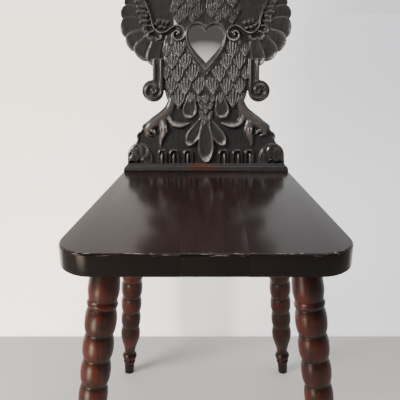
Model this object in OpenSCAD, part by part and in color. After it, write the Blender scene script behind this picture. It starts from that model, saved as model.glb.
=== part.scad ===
// A plank chair: a glued plank seat on two sliding dovetail battens, four turned and splayed
// legs socketed into its underside, and a carved back board whose two tenons pass through
// the seat and the rear batten and are locked from below by tapered keys.
// +X is to the right of someone who faces the chair, +Y runs to the back, +Z is up.
// The origin is on the floor, at the middle of the whole chair.

/* [Seat] */
// Height of the top of the seat above the floor
seat_h = 455; // [430:1:480]
// Thickness of the seat planks
seat_t = 35; // [32:1:42]
// Width across the front edge, measured to the sharp corners
seat_front_w = 421; // [405:1:440]
// Width across the rear edge, measured to the sharp corners
seat_rear_w = 306; // [296:1:330]
// Depth from the front edge to the rear edge
seat_d = 430; // [425:1:450]
// Radius of the two front corners
front_corner_r = 50; // [30:1:60]
// Radius of the two rear corners
rear_corner_r = 25; // [12:1:35]
// Width of the eased edges
edge_ease = 2.5; // [1:0.5:5]
// Distance of the left glue joint from the centre line
left_joint_x = 34; // [20:1:45]
// Distance of the right glue joint from the centre line
right_joint_x = 57; // [45:1:62]

/* [Joinery] */
// Clearance left for glue in every joint
fit_gap = 0.15; // [0.1:0.05:0.3]
// Height of the part of a batten that stands below the seat
batten_t = 22; // [18:1:26]
// Width of the front batten
front_batten_w = 56; // [52:1:70]
// Distance of the front batten's middle from the front edge
front_batten_y = 137; // [125:1:150]
// Width of the rear batten
rear_batten_w = 60; // [56:1:66]
// Distance of the batten ends from the seat's sides
batten_inset = 16; // [10:1:24]
// Width of the bevel along the lower edges of a batten
batten_bevel = 6; // [3:1:9]
// Greatest width of the dovetail tongue
tongue_w = 46; // [42:1:50]
// Depth of the dovetail tongue into the seat
tongue_h = 9; // [6:1:11]
// Amount by which each flank of the tongue narrows at its mouth
tongue_flare = 3; // [1:0.5:4]
// Distance of the tongue's ends from the seat's sides
tongue_inset = 2; // [1:0.5:6]
// Distance of the back tenons from the centre line
back_tenon_x = 100; // [92:1:104]
// Width of each back tenon
back_tenon_w = 44; // [36:1:48]
// Shoulder left in front of and behind each back tenon
back_tenon_shoulder = 3; // [2:0.5:5]
// Length of the tenon's tail below the rear batten
back_tenon_tail = 40; // [36:1:48]
// Width of the tapered keys
key_w = 13; // [10:1:16]
// Length of the tapered keys
key_l = 84; // [70:1:92]
// Height of a key's thick end
key_thick = 22; // [18:1:24]
// Height of a key's thin end
key_thin = 14; // [10:1:16]
// Height of the slot's relief above the key
key_relief = 4; // [2:0.5:6]

/* [Legs] */
// Distance of the front legs' tops from the centre line
front_leg_x = 139; // [130:1:146]
// Distance of the front legs' tops from the front edge
front_leg_y = 44; // [40:1:56]
// Distance of the rear legs' tops from the centre line
rear_leg_x = 131; // [124:1:134]
// Distance of the rear legs' tops from the rear edge
rear_leg_inset = 115; // [108:1:130]
// Outward splay of the front legs in degrees
front_out_angle = 7.5; // [4:0.5:10]
// Forward splay of the front legs in degrees
front_along_angle = 8.3; // [5:0.1:10]
// Outward splay of the rear legs in degrees
rear_out_angle = 5; // [3:0.5:9]
// Backward splay of the rear legs in degrees
rear_along_angle = 8.3; // [5:0.1:10]
// Diameter of a leg where it meets the seat
leg_top_dia = 40.7; // [36:0.1:44]
// Largest diameter of the long swelling under the seat
swell_dia = 45.5; // [42:0.1:48]
// Length from the seat to the widest place of the swelling
swell_peak_l = 37; // [30:1:42]
// Length from the widest place of the swelling to its lower end
swell_end_l = 15; // [10:1:20]
// Diameter of the swelling at its lower end
swell_end_dia = 42; // [38:0.1:44]
// Diameter of the collar under the swelling
collar_dia = 44.5; // [41:0.1:47]
// Length of the collar
collar_l = 12; // [9:0.5:15]
// Number of long beads
bead_count = 6; // [5:1:7]
// Diameter of the uppermost bead
bead_top_dia = 46; // [42:0.1:48]
// Diameter of the lowest bead
bead_low_dia = 40; // [37:0.1:42]
// Depth of the notches between beads
notch_cut = 3; // [1.5:0.1:4]
// Length of the tapering vase below the beads
vase_l = 74; // [65:1:82]
// Largest diameter of the vase
vase_dia = 40; // [36:0.1:42]
// Length from the vase's top to its widest place
vase_peak_l = 18; // [12:1:24]
// Diameter of the vase's neck
vase_neck_dia = 21.5; // [19:0.1:24]
// Diameter of the upper ring
upper_ring_dia = 30; // [27:0.1:33]
// Length of the upper ring
upper_ring_l = 15; // [12:0.5:18]
// Diameter of the lower ring
lower_ring_dia = 25.5; // [24:0.1:28]
// Length of the lower ring
lower_ring_l = 14; // [11:0.5:17]
// Diameter at the bottom of the grooves beside the rings
ring_groove_dia = 20; // [17:0.1:21]
// Length of the foot
foot_l = 26; // [20:1:32]
// Diameter of the foot at its top
foot_dia = 21; // [19:0.1:24]
// Diameter of the foot at the floor
foot_end_dia = 19; // [17:0.1:21]
// Diameter of the leg tenons
leg_tenon_dia = 26; // [22:1:30]
// Length of the leg tenons
leg_tenon_l = 26; // [20:1:28]
// Length of the wedge in each leg tenon
wedge_l = 18; // [12:1:19]
// Width of the wedge in each leg tenon
wedge_w = 21; // [16:1:21]
// Thickness of that wedge at its outer end
wedge_thick = 3.2; // [2.4:0.1:4]
// Thickness of that wedge at its thin end
wedge_thin = 1; // [0.6:0.1:1.6]

/* [Back board] */
// Length of the back board above the seat, measured along the board
board_l = 445; // [420:1:470]
// Width across the wings
wing_span = 325; // [300:1:340]
// Thickness of the board
board_t = 28; // [26:1:32]
// Lean of the board in degrees
back_lean = 13; // [10:0.5:15]
// Distance of the carved face from the seat's rear edge, at the seat
board_inset = 44; // [42:1:50]
// Depth of the carving's ground below the carved face
ground_cut = 8; // [6:0.5:9]
// Width of the moulded ledge at the foot of the board
ledge_w = 316; // [306:1:322]
// Height of the moulded ledge
ledge_h = 13; // [12:1:18]
// Height of the ledge's upright nose
ledge_nose = 6; // [4:0.5:8]
// Projection of the ledge in front of the carved face
ledge_out = 11; // [6:0.5:12]
// Width of the heart opening
heart_w = 69; // [60:1:76]
// Height of the heart opening from its point to the bottom of its notch
heart_l = 59; // [52:1:66]
// Height of the heart's point above the seat, along the board
heart_v = 203.7; // [198:1:210]
// Width of the raised rim round the heart
heart_rim = 4.5; // [3:0.5:6]

/* [Hidden] */

// Every cut runs past the wood by this much
overrun = 5;
// The wood that a raised carved form keeps below the ground
root_depth = 5;

// Derived places, with y from the seat's front edge
under_h = seat_h - seat_t;
board_y = seat_d - board_inset;
rear_leg_y = seat_d - rear_leg_inset;
side_taper = (seat_front_w - seat_rear_w) / 2 / seat_d;
side_slope = sqrt(1 + side_taper * side_taper);
lean_t = tan(back_lean);
tenon_t = board_t - 2 * back_tenon_shoulder;
rear_batten_y = board_y + board_t / 2 / cos(back_lean) - (seat_t + batten_t / 2) * lean_t;
key_y = board_y + board_t / 2 / cos(back_lean) - (seat_t + batten_t + key_thick / 2) * lean_t;
wing_half = wing_span / 2;
foot_front_y = front_leg_y - under_h * tan(front_along_angle) - foot_end_dia / 2;
crest_rear_y = board_y + board_l * sin(back_lean) + board_t * cos(back_lean);
middle_y = (foot_front_y + crest_rear_y) / 2;

// Wood colours, as stained and lacquered
seat_color = [0.27, 0.12, 0.08];
leg_color = [0.36, 0.15, 0.09];
board_color = [0.2, 0.14, 0.12];
under_color = [0.42, 0.27, 0.17];
key_color = [0.5, 0.34, 0.2];

// Half the seat's width at a distance from the front edge
function seat_half(y) = seat_front_w / 2 - side_taper * y;

// One corner of the seat blank: a disc with both rims eased
module corner_disc(r) {
    cylinder(h = edge_ease, r1 = r - edge_ease, r2 = r, $fn = 48);
    translate([0, 0, edge_ease]) cylinder(h = seat_t - 2 * edge_ease, r = r, $fn = 48);
    translate([0, 0, seat_t - edge_ease]) cylinder(h = edge_ease, r1 = r, r2 = r - edge_ease, $fn = 48);
}

// The whole seat with its rounded corners, before it is divided into planks
module seat_blank() {
    rear_y = seat_d - rear_corner_r;
    translate([0, 0, under_h]) hull() {
        for (side = [-1, 1]) {
            translate([side * (seat_half(front_corner_r) - front_corner_r * side_slope), front_corner_r, 0])
                corner_disc(front_corner_r);
            translate([side * (seat_half(rear_y) - rear_corner_r * side_slope), rear_y, 0])
                corner_disc(rear_corner_r);
        }
    }
}

// The dovetail groove that a batten slides into, open at both sides of the seat
module batten_groove(y) {
    translate([-seat_front_w / 2 - overrun, y, under_h]) rotate([90, 0, 90])
        linear_extrude(seat_front_w + 2 * overrun) dovetail_section(fit_gap);
}

// Cross-section of a dovetail, z upward from the seat's underside, with a clearance all round
module dovetail_section(gap) {
    top = tongue_w / 2 + gap;
    mouth = top - tongue_flare;
    polygon([[-mouth, -overrun], [mouth, -overrun], [mouth, 0], [top, tongue_h + gap],
             [-top, tongue_h + gap], [-mouth, 0]]);
}

// Sockets for the four leg tenons
module leg_sockets() {
    for (side = [-1, 1]) {
        at_leg(side * front_leg_x, front_leg_y, side * front_out_angle, -front_along_angle) leg_socket();
        at_leg(side * rear_leg_x, rear_leg_y, side * rear_out_angle, rear_along_angle) leg_socket();
    }
}

module leg_socket() {
    depth = leg_tenon_l + fit_gap;
    translate([0, 0, -2 * overrun])
        cylinder(h = depth + 2 * overrun, d = leg_tenon_dia + 2 * fit_gap, $fn = 64);
}

// The part of the seat between two distances from the centre line, with every cut made
module seat_plank(x0, x1) {
    color(seat_color) translate([0, -middle_y, 0]) difference() {
        intersection() {
            seat_blank();
            translate([x0, -overrun, under_h - overrun])
                cube([x1 - x0, seat_d + 2 * overrun, seat_t + 2 * overrun]);
        }
        batten_groove(front_batten_y);
        batten_groove(rear_batten_y);
        leg_sockets();
        back_tenons(fit_gap);
    }
}

module seat_plank_left() { seat_plank(-seat_front_w, -left_joint_x - fit_gap / 2); }
module seat_plank_middle() { seat_plank(-left_joint_x + fit_gap / 2, right_joint_x - fit_gap / 2); }
module seat_plank_right() { seat_plank(right_joint_x + fit_gap / 2, seat_front_w); }

// Plan of a batten or its tongue, following the seat's slanted sides
module batten_plan(y, w, inset) {
    front = seat_half(y - w / 2) - inset;
    rear = seat_half(y + w / 2) - inset;
    polygon([[-front, y - w / 2], [front, y - w / 2], [rear, y + w / 2], [-rear, y + w / 2]]);
}

// Cross-section of a batten below the seat, with its lower edges bevelled
module batten_section(w) {
    polygon([[-w / 2, 0], [-w / 2, -batten_t + batten_bevel], [-w / 2 + batten_bevel, -batten_t],
             [w / 2 - batten_bevel, -batten_t], [w / 2, -batten_t + batten_bevel], [w / 2, 0]]);
}

module batten(y, w) {
    intersection() {
        translate([-seat_front_w / 2, y, under_h]) rotate([90, 0, 90])
            linear_extrude(seat_front_w) batten_section(w);
        translate([0, 0, under_h - batten_t - overrun])
            linear_extrude(batten_t + 2 * overrun) batten_plan(y, w, batten_inset);
    }
    intersection() {
        translate([-seat_front_w / 2, y, under_h]) rotate([90, 0, 90])
            linear_extrude(seat_front_w) dovetail_section(0);
        union() {
            translate([0, 0, under_h])
                linear_extrude(tongue_h + overrun) batten_plan(y, w, tongue_inset);
            translate([0, 0, under_h - overrun])
                linear_extrude(overrun) batten_plan(y, w, batten_inset);
        }
    }
}

module front_batten() {
    color(under_color) translate([0, -middle_y, 0]) batten(front_batten_y, front_batten_w);
}

module rear_batten() {
    color(under_color) translate([0, -middle_y, 0]) difference() {
        batten(rear_batten_y, rear_batten_w);
        back_tenons(fit_gap);
    }
}

// Puts a piece on a leg's axis: its origin at the seat's underside and -z down the leg
module at_leg(x, y, out, along) {
    translate([x, y, under_h]) rotate([atan(tan(along) * cos(out)), -out, 0]) children();
}

// Length of a leg's axis from the seat's underside to the floor
function leg_len(out, along) = under_h * sqrt(1 + pow(tan(out), 2) + pow(tan(along), 2));

// A smooth step from a to b over length l, starting at depth d
function ease(a, b, d, l, n) =
    [for (i = [0:n - 1]) let (t = i / n) [a + (b - a) * (1 - cos(180 * t)) / 2, -(d + l * t)]];

// A rounded ring that rises from r0 to r1 and falls to r0 again
function ring(r0, r1, d, l, n) =
    [for (i = [0:n - 1]) let (t = i / n) [r0 + (r1 - r0) * pow(sin(180 * t), 0.6), -(d + l * t)]];

// The row of long beads, evenly pitched and slightly smaller towards the foot
function bead_r(i) = bead_top_dia / 2 + (bead_low_dia - bead_top_dia) / 2 * i / (bead_count - 1);
function beads(d, pitch, n) =
    [for (i = [0:bead_count - 1]) for (j = [0:n - 1]) let (t = j / n)
        [bead_r(i) - notch_cut * pow(abs(2 * t - 1), 2.4), -(d + pitch * (i + t))]];

module leg_turning(len) {
    swell_l = swell_peak_l + swell_end_l;
    top_l = swell_l + collar_l;
    low_l = vase_l + upper_ring_l + lower_ring_l + foot_l;
    pitch = (len - top_l - low_l) / bead_count;
    vase_d = len - low_l;
    ring_d = vase_d + vase_l;
    ring2_d = ring_d + upper_ring_l;
    foot_d = ring2_d + lower_ring_l;
    start = [[0, overrun], [leg_top_dia / 2, overrun]];
    swell = concat(ease(leg_top_dia / 2, swell_dia / 2, 0, swell_peak_l, 6),
                   ease(swell_dia / 2, swell_end_dia / 2, swell_peak_l, swell_end_l, 4));
    collar = ring(bead_r(0) - notch_cut, collar_dia / 2, swell_l, collar_l, 6);
    vase = concat([[bead_r(bead_count - 1) - notch_cut, -vase_d]],
                  [for (i = [1:4]) let (t = i / 4) [bead_r(bead_count - 1) - notch_cut
                      + (vase_dia / 2 - bead_r(bead_count - 1) + notch_cut) * sin(90 * t),
                      -(vase_d + vase_peak_l * t)]],
                  [for (i = [1:8]) let (t = i / 9) [vase_dia / 2
                      + (vase_neck_dia - vase_dia) / 2 * (1 - cos(180 * pow(t, 1.1))) / 2,
                      -(vase_d + vase_peak_l + (vase_l - vase_peak_l) * t)]],
                  [[vase_neck_dia / 2, -ring_d]]);
    rings = concat(ring(ring_groove_dia / 2, upper_ring_dia / 2, ring_d, upper_ring_l, 6),
                   ring(ring_groove_dia / 2, lower_ring_dia / 2, ring2_d, lower_ring_l, 6));
    foot = [[foot_dia / 2, -foot_d], [foot_dia / 2, -foot_d - foot_l / 4],
            [foot_end_dia / 2, -len - overrun], [0, -len - overrun]];
    rotate_extrude($fn = 64)
        polygon(concat(start, swell, collar, beads(top_l, pitch, 8), vase, rings, foot));
}

module leg(x, y, out, along) {
    color(leg_color) translate([0, -middle_y, 0]) difference() {
        union() {
            intersection() {
                at_leg(x, y, out, along) leg_turning(leg_len(out, along));
                translate([-seat_front_w, -seat_d, 0]) cube([2 * seat_front_w, 3 * seat_d, under_h]);
            }
            at_leg(x, y, out, along) translate([0, 0, -swell_peak_l])
                cylinder(h = swell_peak_l + leg_tenon_l, d = leg_tenon_dia, $fn = 64);
        }
        at_leg(x, y, out, along) wedge_blade(leg_tenon_dia + overrun, fit_gap);
    }
}

// The wedge in the end of a leg tenon, thick end up, or with a gap the saw cut that holds it
module wedge_blade(w, gap) {
    cap = gap * overrun / fit_gap;
    translate([-w / 2, 0, leg_tenon_l]) rotate([90, 0, 90]) linear_extrude(w)
        polygon([[-wedge_thin / 2 - gap, -wedge_l - gap], [wedge_thin / 2 + gap, -wedge_l - gap],
                 [wedge_thick / 2 + gap, 0], [wedge_thick / 2 + gap, cap],
                 [-wedge_thick / 2 - gap, cap], [-wedge_thick / 2 - gap, 0]]);
}

module leg_wedge(x, y, out, along) {
    color(key_color) translate([0, -middle_y, 0]) at_leg(x, y, out, along) wedge_blade(wedge_w, 0);
}

module leg_front_left() { leg(-front_leg_x, front_leg_y, -front_out_angle, -front_along_angle); }
module leg_front_right() { leg(front_leg_x, front_leg_y, front_out_angle, -front_along_angle); }
module leg_rear_left() { leg(-rear_leg_x, rear_leg_y, -rear_out_angle, rear_along_angle); }
module leg_rear_right() { leg(rear_leg_x, rear_leg_y, rear_out_angle, rear_along_angle); }
module wedge_front_left() { leg_wedge(-front_leg_x, front_leg_y, -front_out_angle, -front_along_angle); }
module wedge_front_right() { leg_wedge(front_leg_x, front_leg_y, front_out_angle, -front_along_angle); }
module wedge_rear_left() { leg_wedge(-rear_leg_x, rear_leg_y, -rear_out_angle, rear_along_angle); }
module wedge_rear_right() { leg_wedge(rear_leg_x, rear_leg_y, rear_out_angle, rear_along_angle); }

// Puts a piece on the back board: x across, y up the board, z out of the carved face
module on_board() {
    translate([0, board_y, seat_h]) rotate([90 - back_lean, 0, 0]) children();
}

// The two tenons of the board, with a clearance all round where they cut a mortise
module back_tenons(gap) {
    tail = (seat_t + batten_t) / cos(back_lean) + back_tenon_tail + gap;
    rear = -board_t + back_tenon_shoulder - gap;
    for (side = [-1, 1])
        on_board() translate([side * back_tenon_x - back_tenon_w / 2 - gap, -tail, rear])
            cube([back_tenon_w + 2 * gap, tail + ledge_nose, tenon_t + 2 * gap]);
}

// A key, or the slot for it, from the side: level on top, tapered below
module key_side(gap, relief) {
    polygon([[-key_l / 2 - gap, -key_thick - gap], [key_l / 2 + gap, -key_thin - gap],
             [key_l / 2 + gap, relief], [-key_l / 2 - gap, relief]]);
}

module key_at(x, w, gap, relief) {
    translate([x - w / 2, key_y, under_h - batten_t]) rotate([90, 0, 90])
        linear_extrude(w) key_side(gap, relief);
}

module back_key(x) {
    color(key_color) translate([0, -middle_y, -fit_gap]) key_at(x, key_w, 0, 0);
}

module back_key_left() { back_key(-back_tenon_x); }
module back_key_right() { back_key(back_tenon_x); }

// Places on the board are shares: x of half the wing span, y of the board's length
function spot(share) = [share[0] * wing_half, share[1] * board_l];
function spots(shares) = [for (s = shares) spot(s)];
function reversed(points) = [for (i = [len(points) - 1:-1:0]) points[i]];
function flipped(points) = [for (p = reversed(points)) [-p[0], p[1]]];
function both_sides(points) = concat(points, flipped(points));

// The right half of the board's outline, upward: each row is a place and the bulge of the
// edge that leaves it, as a share of that edge's own length, 0 where it is straight
outline_shares = [
    [0.937, 0.048, 0.21], [0.805, 0.121, 0.33], [0.753, 0.173, 0.26], [0.729, 0.203, 0.06],
    [0.603, 0.227, -0.03], [0.492, 0.26, -0.04], [0.435, 0.302, 0], [0.477, 0.325, 0.04],
    [0.496, 0.36, 0], [0.496, 0.45, 0], [0.572, 0.461, 0.31], [0.695, 0.4708, 0.25],
    [0.831, 0.518, 0.28], [0.939, 0.574, 0.215], [0.974, 0.646, 0.24], [0.937, 0.7, 0.2],
    [0.898, 0.744, 0.22], [0.852, 0.785, 0.2], [0.778, 0.812, 0.3], [0.65, 0.808, 0.16],
    [0.612, 0.775, 0], [0.591, 0.752, -0.15], [0.463, 0.75, -0.1], [0.445, 0.785, 0],
    [0.468, 0.808, 0], [0.522, 0.811, 0.1], [0.561, 0.799, -0.1], [0.591, 0.786, 0.16],
    [0.597, 0.833, 0.16], [0.532, 0.862, -0.06], [0.468, 0.885, 0.16], [0.335, 0.905, 0.12],
    [0.236, 0.897, 0], [0.197, 0.9, 0], [0.231, 0.95, 0.3], [0.187, 0.963, 0], [0.133, 0.93, 0],
    [0.103, 0.975, 0.35], [0.069, 0.975, 0], [0.034, 0.94, 0], [0.03, 0.985, 0.4]];
first_wing_lobe = 10;
wing_lobes = 8;
lobe_steps = 6;

// Points from p towards q along a bulging edge
function lobe(p, q, bulge) = let (d = q - p, across = [d[1], -d[0]])
    bulge == 0 ? [p]
    : [for (i = [0:lobe_steps - 1]) let (t = i / lobe_steps) p + d * t + across * bulge * 4 * t * (1 - t)];
function outline_spot(i) = i < len(outline_shares) ? spot(outline_shares[i]) : [0, board_l];
function half_outline() = [for (i = [0:len(outline_shares) - 1])
    for (p = lobe(outline_spot(i), outline_spot(i + 1), outline_shares[i][2])) p];
plinth_half = outline_spot(0)[0];

// The heart: two circles above and two flanks that narrow to a point
heart_circle_share = 0.258;
heart_flank_power = 1.08;
heart_point_share = 4.3;
heart_r = heart_w * heart_circle_share;
heart_x = heart_w / 2 - heart_r;
heart_top = heart_v + heart_l - sqrt(heart_r * heart_r - heart_x * heart_x);
function heart_half(t) = heart_w / 2 * pow(sin(90 * t), heart_flank_power);
function heart_flank(grow, n) = let (low = heart_v - grow * heart_point_share)
    [for (i = [0:n]) let (t = i / n) [heart_half(t) + grow * sqrt(t), low + (heart_top - low) * t]];
module heart(grow) {
    for (side = [-1, 1]) translate([side * heart_x, heart_top]) circle(r = heart_r + grow, $fn = 48);
    polygon(both_sides(heart_flank(grow, 12)));
}

// A side volute: a scroll under the wing with a straight stem above it
volute_share = [0.63, 0.3415];
stem_top_share = 0.475;
volute_r = 20.2;
stem_w = 20;
module volute_outline() {
    c = spot(volute_share);
    translate(c) circle(r = volute_r, $fn = 48);
    translate([c[0] - volute_r, c[1]]) square([stem_w, stem_top_share * board_l - c[1]]);
}

module board_outline() {
    polygon(both_sides(half_outline()));
    volute_outline();
    mirror([1, 0]) volute_outline();
}

// Extrudes an outline between two heights over the carved face
module between(low, high) { translate([0, 0, low]) linear_extrude(high - low) children(); }
// Raises an outline out of the ground, to a depth below the carved face
module raised(depth) { between(-ground_cut - root_depth, -depth) children(); }
// Copies a form to the other side of the board
module twice() {
    children();
    mirror([1, 0, 0]) children();
}

// Rounds an outline off by cutting each corner
corner_shares = [0.25, 0.75];
function rounded(points) = [for (i = [0:len(points) - 1])
    let (a = points[i], b = points[(i + 1) % len(points)]) for (t = corner_shares) a + (b - a) * t];

// A feather in plan, its quill at the origin and its tip towards +y. A higher fullness
// moves its widest place towards the tip.
leaf_steps = 6;
leaf_root_share = 0.12;
leaf_power = 0.62;
function leaf_half(t, w, full) =
    w / 2 * pow(sin(180 * (leaf_root_share + (1 - leaf_root_share) * pow(t, full))), leaf_power);
function leaf_side(l, w, full) = [for (i = [0:leaf_steps - 1]) let (t = sin(90 * i / leaf_steps))
    [leaf_half(t, w, full), l * t]];
function leaf(l, w, full) = concat(leaf_side(l, w, full), [[0, l]], flipped(leaf_side(l, w, full)));

// Lays a form at p, turned by an angle, its quill at a depth and its tip lifted
module laid(p, angle, depth, lift) {
    translate([p[0], p[1], -depth]) rotate([0, 0, angle]) rotate([lift, 0, 0]) children();
}
feather_root = root_depth + ground_cut / 2;

// A short feather
module feather(p, angle, l, w, depth, lift, full) {
    laid(p, angle, depth, lift) between(-feather_root, 0) polygon(leaf(l, w, full));
}

// A long feather with a raised rim and a hollow blade
module rimmed_feather(p, angle, l, w, depth, lift, full, rim) {
    laid(p, angle, depth, lift) difference() {
        between(-feather_root, 0) polygon(leaf(l, w, full));
        translate([0, rim, 0]) between(-rim, overrun) polygon(leaf(l - 2 * rim, w - 2 * rim, full));
    }
}

// A band of constant width along a path
function aim(path, i) =
    let (d = path[min(i + 1, len(path) - 1)] - path[max(i - 1, 0)]) d / norm(d);
function beside(path, w) = [for (i = [0:len(path) - 1]) let (a = aim(path, i)) path[i] + [a[1], -a[0]] * w];
function band(path, w) = concat(beside(path, w / 2), reversed(beside(path, -w / 2)));

// Spiral points round c, from radius r0 to r1, with angles in degrees
function spiral(c, r0, r1, from, sweep, n) = [for (i = [0:n]) let (t = i / n, a = from + sweep * t)
    c + (r0 + (r1 - r0) * t) * [cos(a), sin(a)]];

// The moulded ledge, whose slanted top runs round three sides
ledge_drop = ledge_out * lean_t + overrun;
module ledge() {
    intersection() {
        translate([-ledge_w / 2, 0, 0]) rotate([90, 0, 90]) linear_extrude(ledge_w)
            polygon([[-ledge_drop, -board_t], [ledge_h, -board_t], [ledge_h, 0], [ledge_nose, ledge_out],
                     [-ledge_drop, ledge_out]]);
        between(-board_t, ledge_out)
            polygon(both_sides([[ledge_w / 2, -ledge_drop], [ledge_w / 2, ledge_nose],
                                [plinth_half, ledge_h]]));
    }
}

// The breast and its feathers, in staggered rows with their tips downward
breast_depth = 5;
breast_half = 79;
breast_top_share = 0.556;
breast_shares = [[0, 0.6], [0.486, 0.575], [0.486, 0.36], [0.433, 0.3], [0.315, 0.27], [0.217, 0.31],
    [0, 0.3]];
feather_l = 35;
feather_w = 25;
feather_row = 23.3;
feather_step = 27;
feather_depth = 6.2;
feather_lift = 7.5;
feather_full = 0.8;
feather_rows = 4;
// Half the width that the heart takes at a height
function heart_clear(v) = v < heart_v - heart_rim ? -heart_w
    : v > heart_top ? heart_w / 2
    : heart_half((v - heart_v + heart_rim) / (heart_top - heart_v + heart_rim));
module breast() {
    twice() raised(breast_depth) polygon(spots(breast_shares));
    for (row = [0:feather_rows - 1]) {
        v = breast_top_share * board_l - row * feather_row;
        half = breast_half - feather_w / 2;
        count = floor(half / feather_step);
        for (i = [-count - row % 2:count]) {
            x = (i + (row % 2) / 2) * feather_step;
            if (abs(x) < half + feather_w / 4 && abs(x) > heart_clear(v - feather_l))
                feather([x, v], 180, feather_l, feather_w, feather_depth, feather_lift, feather_full);
        }
    }
}

// Long feathers that hang from the thighs over the legs
thigh_shares = [[0.42, 0.347], [0.185, 0.352], [0.32, 0.354]];
thigh_feather_l = 37;
thigh_feather_w = 24;
thigh_depth = 4.4;
thigh_lift = 4;
module thighs() {
    twice() for (s = thigh_shares)
        feather(spot(s), 180, thigh_feather_l, thigh_feather_w, thigh_depth, thigh_lift, feather_full);
}

// The tail: rimmed feathers fanned round one that reaches the plinth. Each row is a quill's
// place and a tip's place.
tail_shares = [[0, 0.228, 0, 0.034], [0.03, 0.212, 0.197, 0.112], [0.148, 0.325, 0.202, 0.228]];
tail_w = [29, 20, 27];
tail_rim = 2.2;
tail_depth = 5.8;
tail_lift = 3;
tail_full = 1.6;
tail_top_share = 0.31;
tail_feather_l = 19;
tail_feather_w = 11;
tail_feather_step = 7.5;
tail_feather_row = 13.2;
module tail_feather(i) {
    quill = spot(tail_shares[i]);
    d = spot([tail_shares[i][2], tail_shares[i][3]]) - quill;
    rimmed_feather(quill, atan2(d[1], d[0]) - 90, norm(d), tail_w[i], tail_depth, tail_lift,
                   tail_full, tail_rim);
}
module tail() {
    tail_feather(0);
    twice() for (i = [1:len(tail_w) - 1]) tail_feather(i);
    for (row = [0:2]) for (i = [-1:1])
        feather([i * tail_feather_step, tail_top_share * board_l - row * tail_feather_row], 180,
                tail_feather_l, tail_feather_w, thigh_depth, feather_lift, feather_full);
}

// Legs and clawed feet
leg_depth = 2;
leg_shares = [[0.435, 0.302], [0.492, 0.26], [0.603, 0.2265], [0.729, 0.203], [0.758, 0.178],
    [0.734, 0.162], [0.65, 0.172], [0.591, 0.168], [0.556, 0.14], [0.546, 0.105], [0.502, 0.122],
    [0.482, 0.155], [0.492, 0.178], [0.433, 0.178], [0.354, 0.176], [0.276, 0.182], [0.231, 0.202],
    [0.246, 0.216], [0.295, 0.203], [0.374, 0.203], [0.423, 0.22], [0.414, 0.24], [0.364, 0.27],
    [0.394, 0.3]];
module clawed_legs() { twice() raised(leg_depth) polygon(rounded(spots(leg_shares))); }

// Arches along the plinth: an inverted U ridge round a low panel
arch_x_shares = [0.209, 0.375, 0.514];
arch_w = 18;
arch_h = 27;
arch_foot = 12;
arch_rim = 3;
arch_panel_rim = 4.8;
arch_depth = 4.5;
arch_panel_depth = 5.5;
module arch_plan(rim) {
    r = arch_w / 2 - rim;
    translate([0, arch_foot + arch_h - arch_w / 2]) circle(r = r, $fn = 32);
    translate([-r, arch_foot - rim]) square([2 * r, arch_h - arch_w / 2 + rim]);
}
module arches() {
    twice() for (s = arch_x_shares) translate([s * wing_half, 0, 0]) {
        raised(arch_depth) difference() {
            arch_plan(0);
            arch_plan(arch_rim);
        }
        raised(arch_panel_depth) arch_plan(arch_panel_rim);
    }
}

// A shell at each end of the plinth: nested rings
shell_share = [0.79, 0.056];
shell_r = 22.5;
shell_step = 3.8;
shell_rings = 3;
shell_depth = 4;
module shells() {
    twice() translate(spot(shell_share)) for (i = [0:shell_rings - 1])
        raised(shell_depth) difference() {
            circle(r = shell_r - 2 * i * shell_step, $fn = 48);
            circle(r = shell_r - (2 * i + 1) * shell_step, $fn = 48);
        }
}

// Volutes and their stems, with a winding groove and a groove down the stem
volute_depth = 0.5;
volute_groove_w = 2.4;
volute_rim = 3.4;
volute_eye_r = 4.4;
volute_angle = 100;
volute_sweep = 500;
module volutes() {
    c = spot(volute_share);
    top = stem_top_share * board_l - volute_rim;
    twice() raised(volute_depth) difference() {
        intersection() {
            volute_outline();
            square([wing_half, top]);
        }
        polygon(band(spiral(c, volute_r - volute_rim, volute_eye_r, volute_angle, volute_sweep, 40),
                     volute_groove_w));
        translate([c[0] - volute_r + stem_w / 2 - volute_groove_w / 2, c[1] + volute_r / 2])
            square([volute_groove_w, top]);
    }
}

// Long feathers of the wing, one for each lobe of the outline
quill_shares = [[0.591, 0.555], [0.635, 0.565], [0.679, 0.585], [0.699, 0.615], [0.704, 0.65],
    [0.719, 0.685], [0.743, 0.715], [0.773, 0.745]];
wing_depth = 6.5;
wing_lift = 4;
wing_rim = 1.8;
wing_reach_share = 0.985;
wing_overlap_share = 1.02;
function lobe_tip(i) = let (p = outline_spot(i), d = outline_spot(i + 1) - p)
    p + d / 2 + [d[1], -d[0]] * outline_shares[i][2];
module wing_feathers() {
    twice() for (i = [0:wing_lobes - 1]) {
        quill = spot(quill_shares[i]);
        d = lobe_tip(first_wing_lobe + i) - quill;
        w = norm(outline_spot(first_wing_lobe + i + 1) - outline_spot(first_wing_lobe + i));
        rimmed_feather(quill, atan2(d[1], d[0]) - 90, norm(d) * wing_reach_share, w * wing_overlap_share,
                       wing_depth, wing_lift, tail_full, wing_rim);
    }
}

// Short curled feathers over the quills
covert_l = 15;
covert_w = 10;
covert_back = 4;
covert_depth = 4;
covert_lift = 12;
module coverts() {
    twice() for (i = [0:wing_lobes - 2]) {
        quill = (spot(quill_shares[i]) + spot(quill_shares[i + 1])) / 2;
        d = (lobe_tip(first_wing_lobe + i) + lobe_tip(first_wing_lobe + i + 1)) / 2 - quill;
        feather(quill - d / norm(d) * covert_back, atan2(d[1], d[0]) - 90, covert_l, covert_w,
                covert_depth, covert_lift, feather_full);
    }
}

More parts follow.
